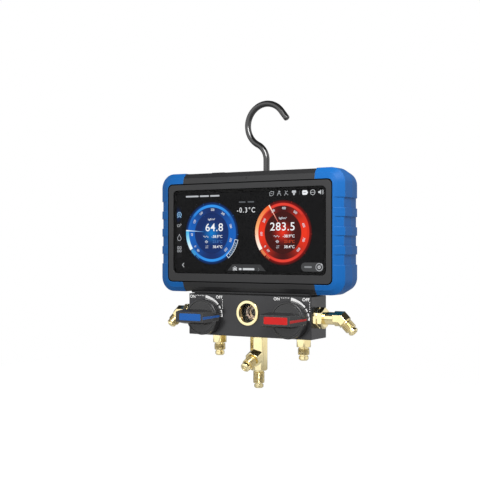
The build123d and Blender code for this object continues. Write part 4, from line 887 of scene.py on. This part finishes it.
# tab at the bottom with a snowflake and two bars, and a pill button at the right
bottomTab = {
    "outline": ((22.5, -39.6), (14.5, -31.0), (-15.7, -31.0), (-24.2, -39.6)), "shade": (0.040, 0.041, 0.043),
    "middleZ": -35.4, "flakeX": -13.2, "arm": 2.6, "knee": 1.35, "twig": 0.8,
    "bars": ((-8.9, 3.0), (-4.6, 12.6)), "chevron": ((11.8, -34.0), (13.1, -35.6), (11.8, -37.2)),
}
pill = {
    "middle": (68.2, -32.8), "width": 22.6, "height": 8.2, "corner": 4.0, "shade": (0.055, 0.056, 0.058),
    "bar": (64.0, -32.8), "barShade": (0.26, 0.27, 0.28), "ring": (75.2, -32.8),
    "ringShade": (0.45, 0.46, 0.48), "coreShade": (0.55, 0.56, 0.58),
}


def drawBottom(sheet):
    b = bottomTab
    sheet.area(b["outline"], b["shade"], 1)
    middle = np.array((b["flakeX"], b["middleZ"]))
    for turn in (30, 90, 150):
        step = polarPoint((0, 0), 1.0, turn)
        cross = np.array((-step[1], step[0]))
        sheet.line([middle - b["arm"] * step, middle + b["arm"] * step], 0.34, ink["white"], 2)
        for way in (-1, 1):
            knee = middle + way * b["knee"] * step
            out, aside = way * b["twig"] * step, b["twig"] * cross
            sheet.line([knee + out + aside, knee, knee + out - aside], 0.26, ink["white"], 2)
    for start, length in b["bars"]:
        sheet.roundedBox((start + length / 2, b["middleZ"]), length, 1.9, 0.7, ink["pale"], 2)
    sheet.line(b["chevron"], 0.4, ink["dimGrey"], 2)
    p = pill
    sheet.roundedBox(p["middle"], p["width"], p["height"], p["corner"], p["shade"], 1)
    sheet.roundedBox(p["bar"], 7.6, 1.6, 0.7, p["barShade"], 2)
    sheet.arc(p["ring"], 3.3, 60, 390, 0.55, p["ringShade"], 2, 34)
    sheet.circle(p["ring"], 1.1, 0.9, p["coreShade"], 2, 16)
    sheet.sign(p["ring"], p["ringShade"], 2, (0, (2.2, 3.6), (3.8, 1.8), (1.2, 1.6)))


def buildScreen():
    sheet = Sheet()
    for dial in dials.values():
        dialFace(sheet, dial)
        dialMarks(sheet, dial)
    for draw in (drawRangeBox, drawTopSigns, drawSideStrip, drawTitles, drawBottom):
        draw(sheet)
    return sheet.build("screenGraphics", place["glassBackY"], 0.0, place["screenZ"], 0.02, "glow")


buildScreen()
print("screen drawn")

# white print round each knob, in millimetres from the knob's middle
scalePrint = {
    "radius": 18.0, "swell": 1.05, "swellFrom": 62.0, "swellSpan": 30.0, "onX": -15.6, "offX": 14.6,
    "wordZ": 18.7, "wordHeight": 2.9, "dots": 5, "dotRadius": 0.45, "dotZ": 19.9, "dotFromX": -10.7,
    "dotStepX": 1.95, "dotX": 18.4, "dotFromZ": 16.4, "dotStepZ": 2.0, "stroke": (92.5, 41.0),
    "strokeSteps": 40, "strokeWidths": (2.8, 1.35), "dashes": ((36.0, 9.5), (22.0, 10.0)),
    "dashRadius": 17.95, "dashWidth": 1.35,
    "hookLine": ((17.9, 3.2), (17.9, 0.6), (15.6, 0.5)), "hookWidth": 1.1,
}


def buildPrint(side, sign):
    p = scalePrint
    sheet = Sheet()
    paint = (1, 1, 1)
    sheet.words("ON", p["wordHeight"], (p["onX"], p["wordZ"]), paint, 1, squeeze=1.02, bold=0.10)
    sheet.words("OFF", p["wordHeight"], (p["offX"], p["wordZ"]), paint, 1, squeeze=1.05, bold=0.10)
    for step in range(p["dots"]):
        sheet.disc((p["dotFromX"] + step * p["dotStepX"], p["dotZ"]), p["dotRadius"], paint, 1, 10)
    for step in range(p["dots"]):
        sheet.disc((p["dotX"], p["dotFromZ"] - step * p["dotStepZ"]), p["dotRadius"], paint, 1, 10)
    # long stroke that narrows; its radius grows with the square of the angle beyond the swell's start
    degrees = np.linspace(*p["stroke"], p["strokeSteps"])
    radius = p["radius"] + p["swell"] * np.clip((degrees - p["swellFrom"]) / p["swellSpan"], 0, 1) ** 2
    widths = np.linspace(*p["strokeWidths"], p["strokeSteps"])
    sheet.line(polarPoint((0, 0), radius, degrees), widths, paint, 1)
    for start, span in p["dashes"]:
        sheet.arc((0, 0), p["dashRadius"], start, start - span, p["dashWidth"], paint, 1, 12)
    sheet.line(p["hookLine"], p["hookWidth"], paint, 1)
    return sheet.build("scalePrint" + side.title(), place["blockY"], sign * place["valveX"],
                       place["valveZ"], 0.03, "print")


for side, sign in sides:
    buildPrint(side, sign)
print("print laid")

# painted shadow: a black line round the flat front frame, standing in for the shade in the gap to the bumper
gapShadow = {"width": 178.2, "height": 95.2, "corner": 5.0, "line": 1.0, "centreZ": -122.3}


def buildGapShadow():
    sheet = Sheet()
    sheet.roundedBox((0, 0), gapShadow["width"] - gapShadow["line"], gapShadow["height"] - gapShadow["line"], gapShadow["corner"],
                     (0, 0, 0), 1, gapShadow["line"])
    return sheet.build("frameGapShadow", place["frontY"], 0.0, gapShadow["centreZ"], 0.03, "groove")


buildGapShadow()
print("seam drawn")

# threaded wall and ring floor of the sight glass; its bronze blotches are painted reflections and painted
# shade
sightCup = {
    "radius": 6.95, "wall": 0.1, "front": 8.05, "depth": 11.9, "floorHole": 3.2, "floorThick": 0.2,
    "relief": 0.4, "rows": 40, "lead": 9, "pitch": 1.05, "threadDepth": 0.8,
}


def buildSightCup():
    s = sightCup
    axes = placeAxes((0, place["blockY"], place["sightZ"]), (1, 0, 0), (0, 1, 0))
    inner = s["radius"] - s["wall"]
    rows = [(s["depth"] - s["floorThick"], s["floorHole"], 0, 0), (s["depth"], s["floorHole"], 0, 0),
            (s["depth"], s["radius"], 0, 0), (s["front"], s["radius"], 0, 0), (s["front"], inner, 0, 0)]
    for share in np.linspace(0, 1, s["rows"] + 1):
        distance = s["front"] + share * (s["depth"] - s["front"] - s["relief"])
        rows.append((distance, inner, 0, min(1.0, share * s["lead"])))
    return turnedBody("sightCup", axes, rows, "sightBronzePaintedGlints", s["pitch"], s["threadDepth"])


buildSightCup()
print("sight glass filled")

# floor, light and camera; the ramps give grey levels, the height's from straight down to straight up and the
# compass's by degrees to the right of straight ahead
stage = {
    "floorZ": -0.50, "floorSize": 3.4, "floorShade": 0.75, "floorGlow": 0.62, "floorShine": 0.0,
    "eye": (0.46645, -0.82620, -0.13595), "azimuth": 31.0, "lift": 0.41,
    "focus": 979.0 / 480.0, "sensor": 36.0,     # focal length in widths of the view, and the sensor's width
    "keyPower": 3.0, "keyPlace": (0.22, -0.38, 0.18), "keyAim": (0.0, -0.03, -0.13), "keySize": 0.25,
    "fill": 0.50,
    "heightRamp": ((0.0, 0.5), (0.30, 0.6), (0.40, 1.0), (0.78, 1.1), (0.83, 0.06), (1.0, 0.03)),
    "compassRamp": ((-180, 0.3), (-150, 0.2), (-118, 0.35), (-88, 0.45), (-70, 1.0), (-40, 1.3), (30, 1.35),
                    (44, 0.45), (60, 0.45), (72, 1.1), (104, 0.95), (148, 1.05), (180, 0.3)),
}


# colour ramp of grey levels, whose positions run from 0 to 1
def greyRamp(tree, factor, levels):
    ramp = addNode(tree, "ShaderNodeValToRGB", Fac=factor)
    stops = ramp.color_ramp.elements
    for position, level in levels:
        stop = stops[0] if position == 0 else stops[len(stops) - 1] if position == 1 else stops.new(position)
        stop.color = (level, level, level, 1)
    return ramp.outputs["Color"]


def buildFloor():
    s = stage
    half, z = s["floorSize"] / 2, s["floorZ"]
    mesh = bpy.data.meshes.new("floor")
    corners = [(-half, -half, z), (half, -half, z), (half, half, z), (-half, half, z)]
    mesh.from_pydata(corners, [], [(0, 1, 2, 3)])
    floor = addObject("floor", mesh)
    material, tree, shader = newMaterial("paleFloor")
    feed(tree, shader, Base_Color=(s["floorShade"],) * 3 + (1,), Roughness=0.9)
    path = addNode(tree, "ShaderNodeLightPath")
    seen = calc(tree, "MAXIMUM", path.outputs["Is Camera Ray"], path.outputs["Is Transmission Ray"])
    seen = calc(tree, "MULTIPLY", seen, s["floorGlow"])
    seen = calc(tree, "MULTIPLY_ADD", path.outputs["Is Glossy Ray"], s["floorShine"], seen)
    bright = addNode(tree, "ShaderNodeEmission", Color=(1, 1, 1, 1), Strength=seen)
    both = addNode(tree, "ShaderNodeAddShader")
    # from beneath the floor isn't there
    clear = addNode(tree, "ShaderNodeBsdfTransparent")
    oneSided = addNode(tree, "ShaderNodeMixShader",
                       Fac=addNode(tree, "ShaderNodeNewGeometry").outputs["Backfacing"])
    surface = tree.nodes["Material Output"].inputs["Surface"]
    for source, socket in ((shader, both.inputs[0]), (bright, both.inputs[1]), (both, oneSided.inputs[1]),
                           (clear, oneSided.inputs[2]), (oneSided, surface)):
        tree.links.new(source.outputs[0], socket)
    mesh.materials.append(material)


# world: gloss sees the two ramps multiplied, rough surfaces an even fill, and the camera white
def buildWorld():
    s = stage
    world = bpy.data.worlds.new("studio")
    bpy.context.scene.world = world
    world.use_nodes = True
    tree = world.node_tree
    coord = addNode(tree, "ShaderNodeTexCoord")
    parts = addNode(tree, "ShaderNodeSeparateXYZ", Vector=coord.outputs["Generated"])
    height = greyRamp(tree, calc(tree, "MULTIPLY_ADD", parts.outputs["Z"], 0.5, 0.5), s["heightRamp"])
    turn = calc(tree, "ARCTAN2", parts.outputs["X"], calc(tree, "MULTIPLY", parts.outputs["Y"], -1.0))
    compass = greyRamp(tree, calc(tree, "MULTIPLY_ADD", turn, 0.5 / math.pi, 0.5),
                       [(0.5 + degrees / 360, level) for degrees, level in s["compassRamp"]])
    path = addNode(tree, "ShaderNodeLightPath")
    light = blend(tree, 1.0, height, compass, "MULTIPLY")
    light = blend(tree, path.outputs["Is Diffuse Ray"], light, (s["fill"], s["fill"], s["fill"]))
    seen = calc(tree, "MAXIMUM", path.outputs["Is Camera Ray"], path.outputs["Is Transmission Ray"])
    feed(tree, tree.nodes["Background"], Color=blend(tree, seen, light, (1.0, 1.0, 1.0)), Strength=1.0)


# object that holds a lamp or a camera and looks along a direction
def addHolder(name, data, location, direction):
    holder = addObject(name, data)
    holder.location = location
    holder.rotation_euler = direction.to_track_quat("-Z", "Y").to_euler()
    return holder


def buildStage():
    s = stage
    buildFloor()
    buildWorld()
    key = bpy.data.lights.new("keyLight", "AREA")
    key.energy = s["keyPower"]
    key.size = s["keySize"]
    addHolder("keyLight", key, s["keyPlace"], Vector(s["keyAim"]) - Vector(s["keyPlace"]))
    camera = bpy.data.cameras.new("camera")
    camera.lens = s["focus"] * s["sensor"]
    camera.sensor_width = s["sensor"]
    camera.clip_start = 0.01
    turn, lift = math.radians(s["azimuth"]), math.radians(s["lift"])
    view = Vector((-math.sin(turn) * math.cos(lift), math.cos(turn) * math.cos(lift), math.sin(lift)))
    bpy.context.scene.camera = addHolder("camera", camera, s["eye"], view)
    bpy.context.scene.view_settings.view_transform = "Standard"


buildStage()
print("stage set")
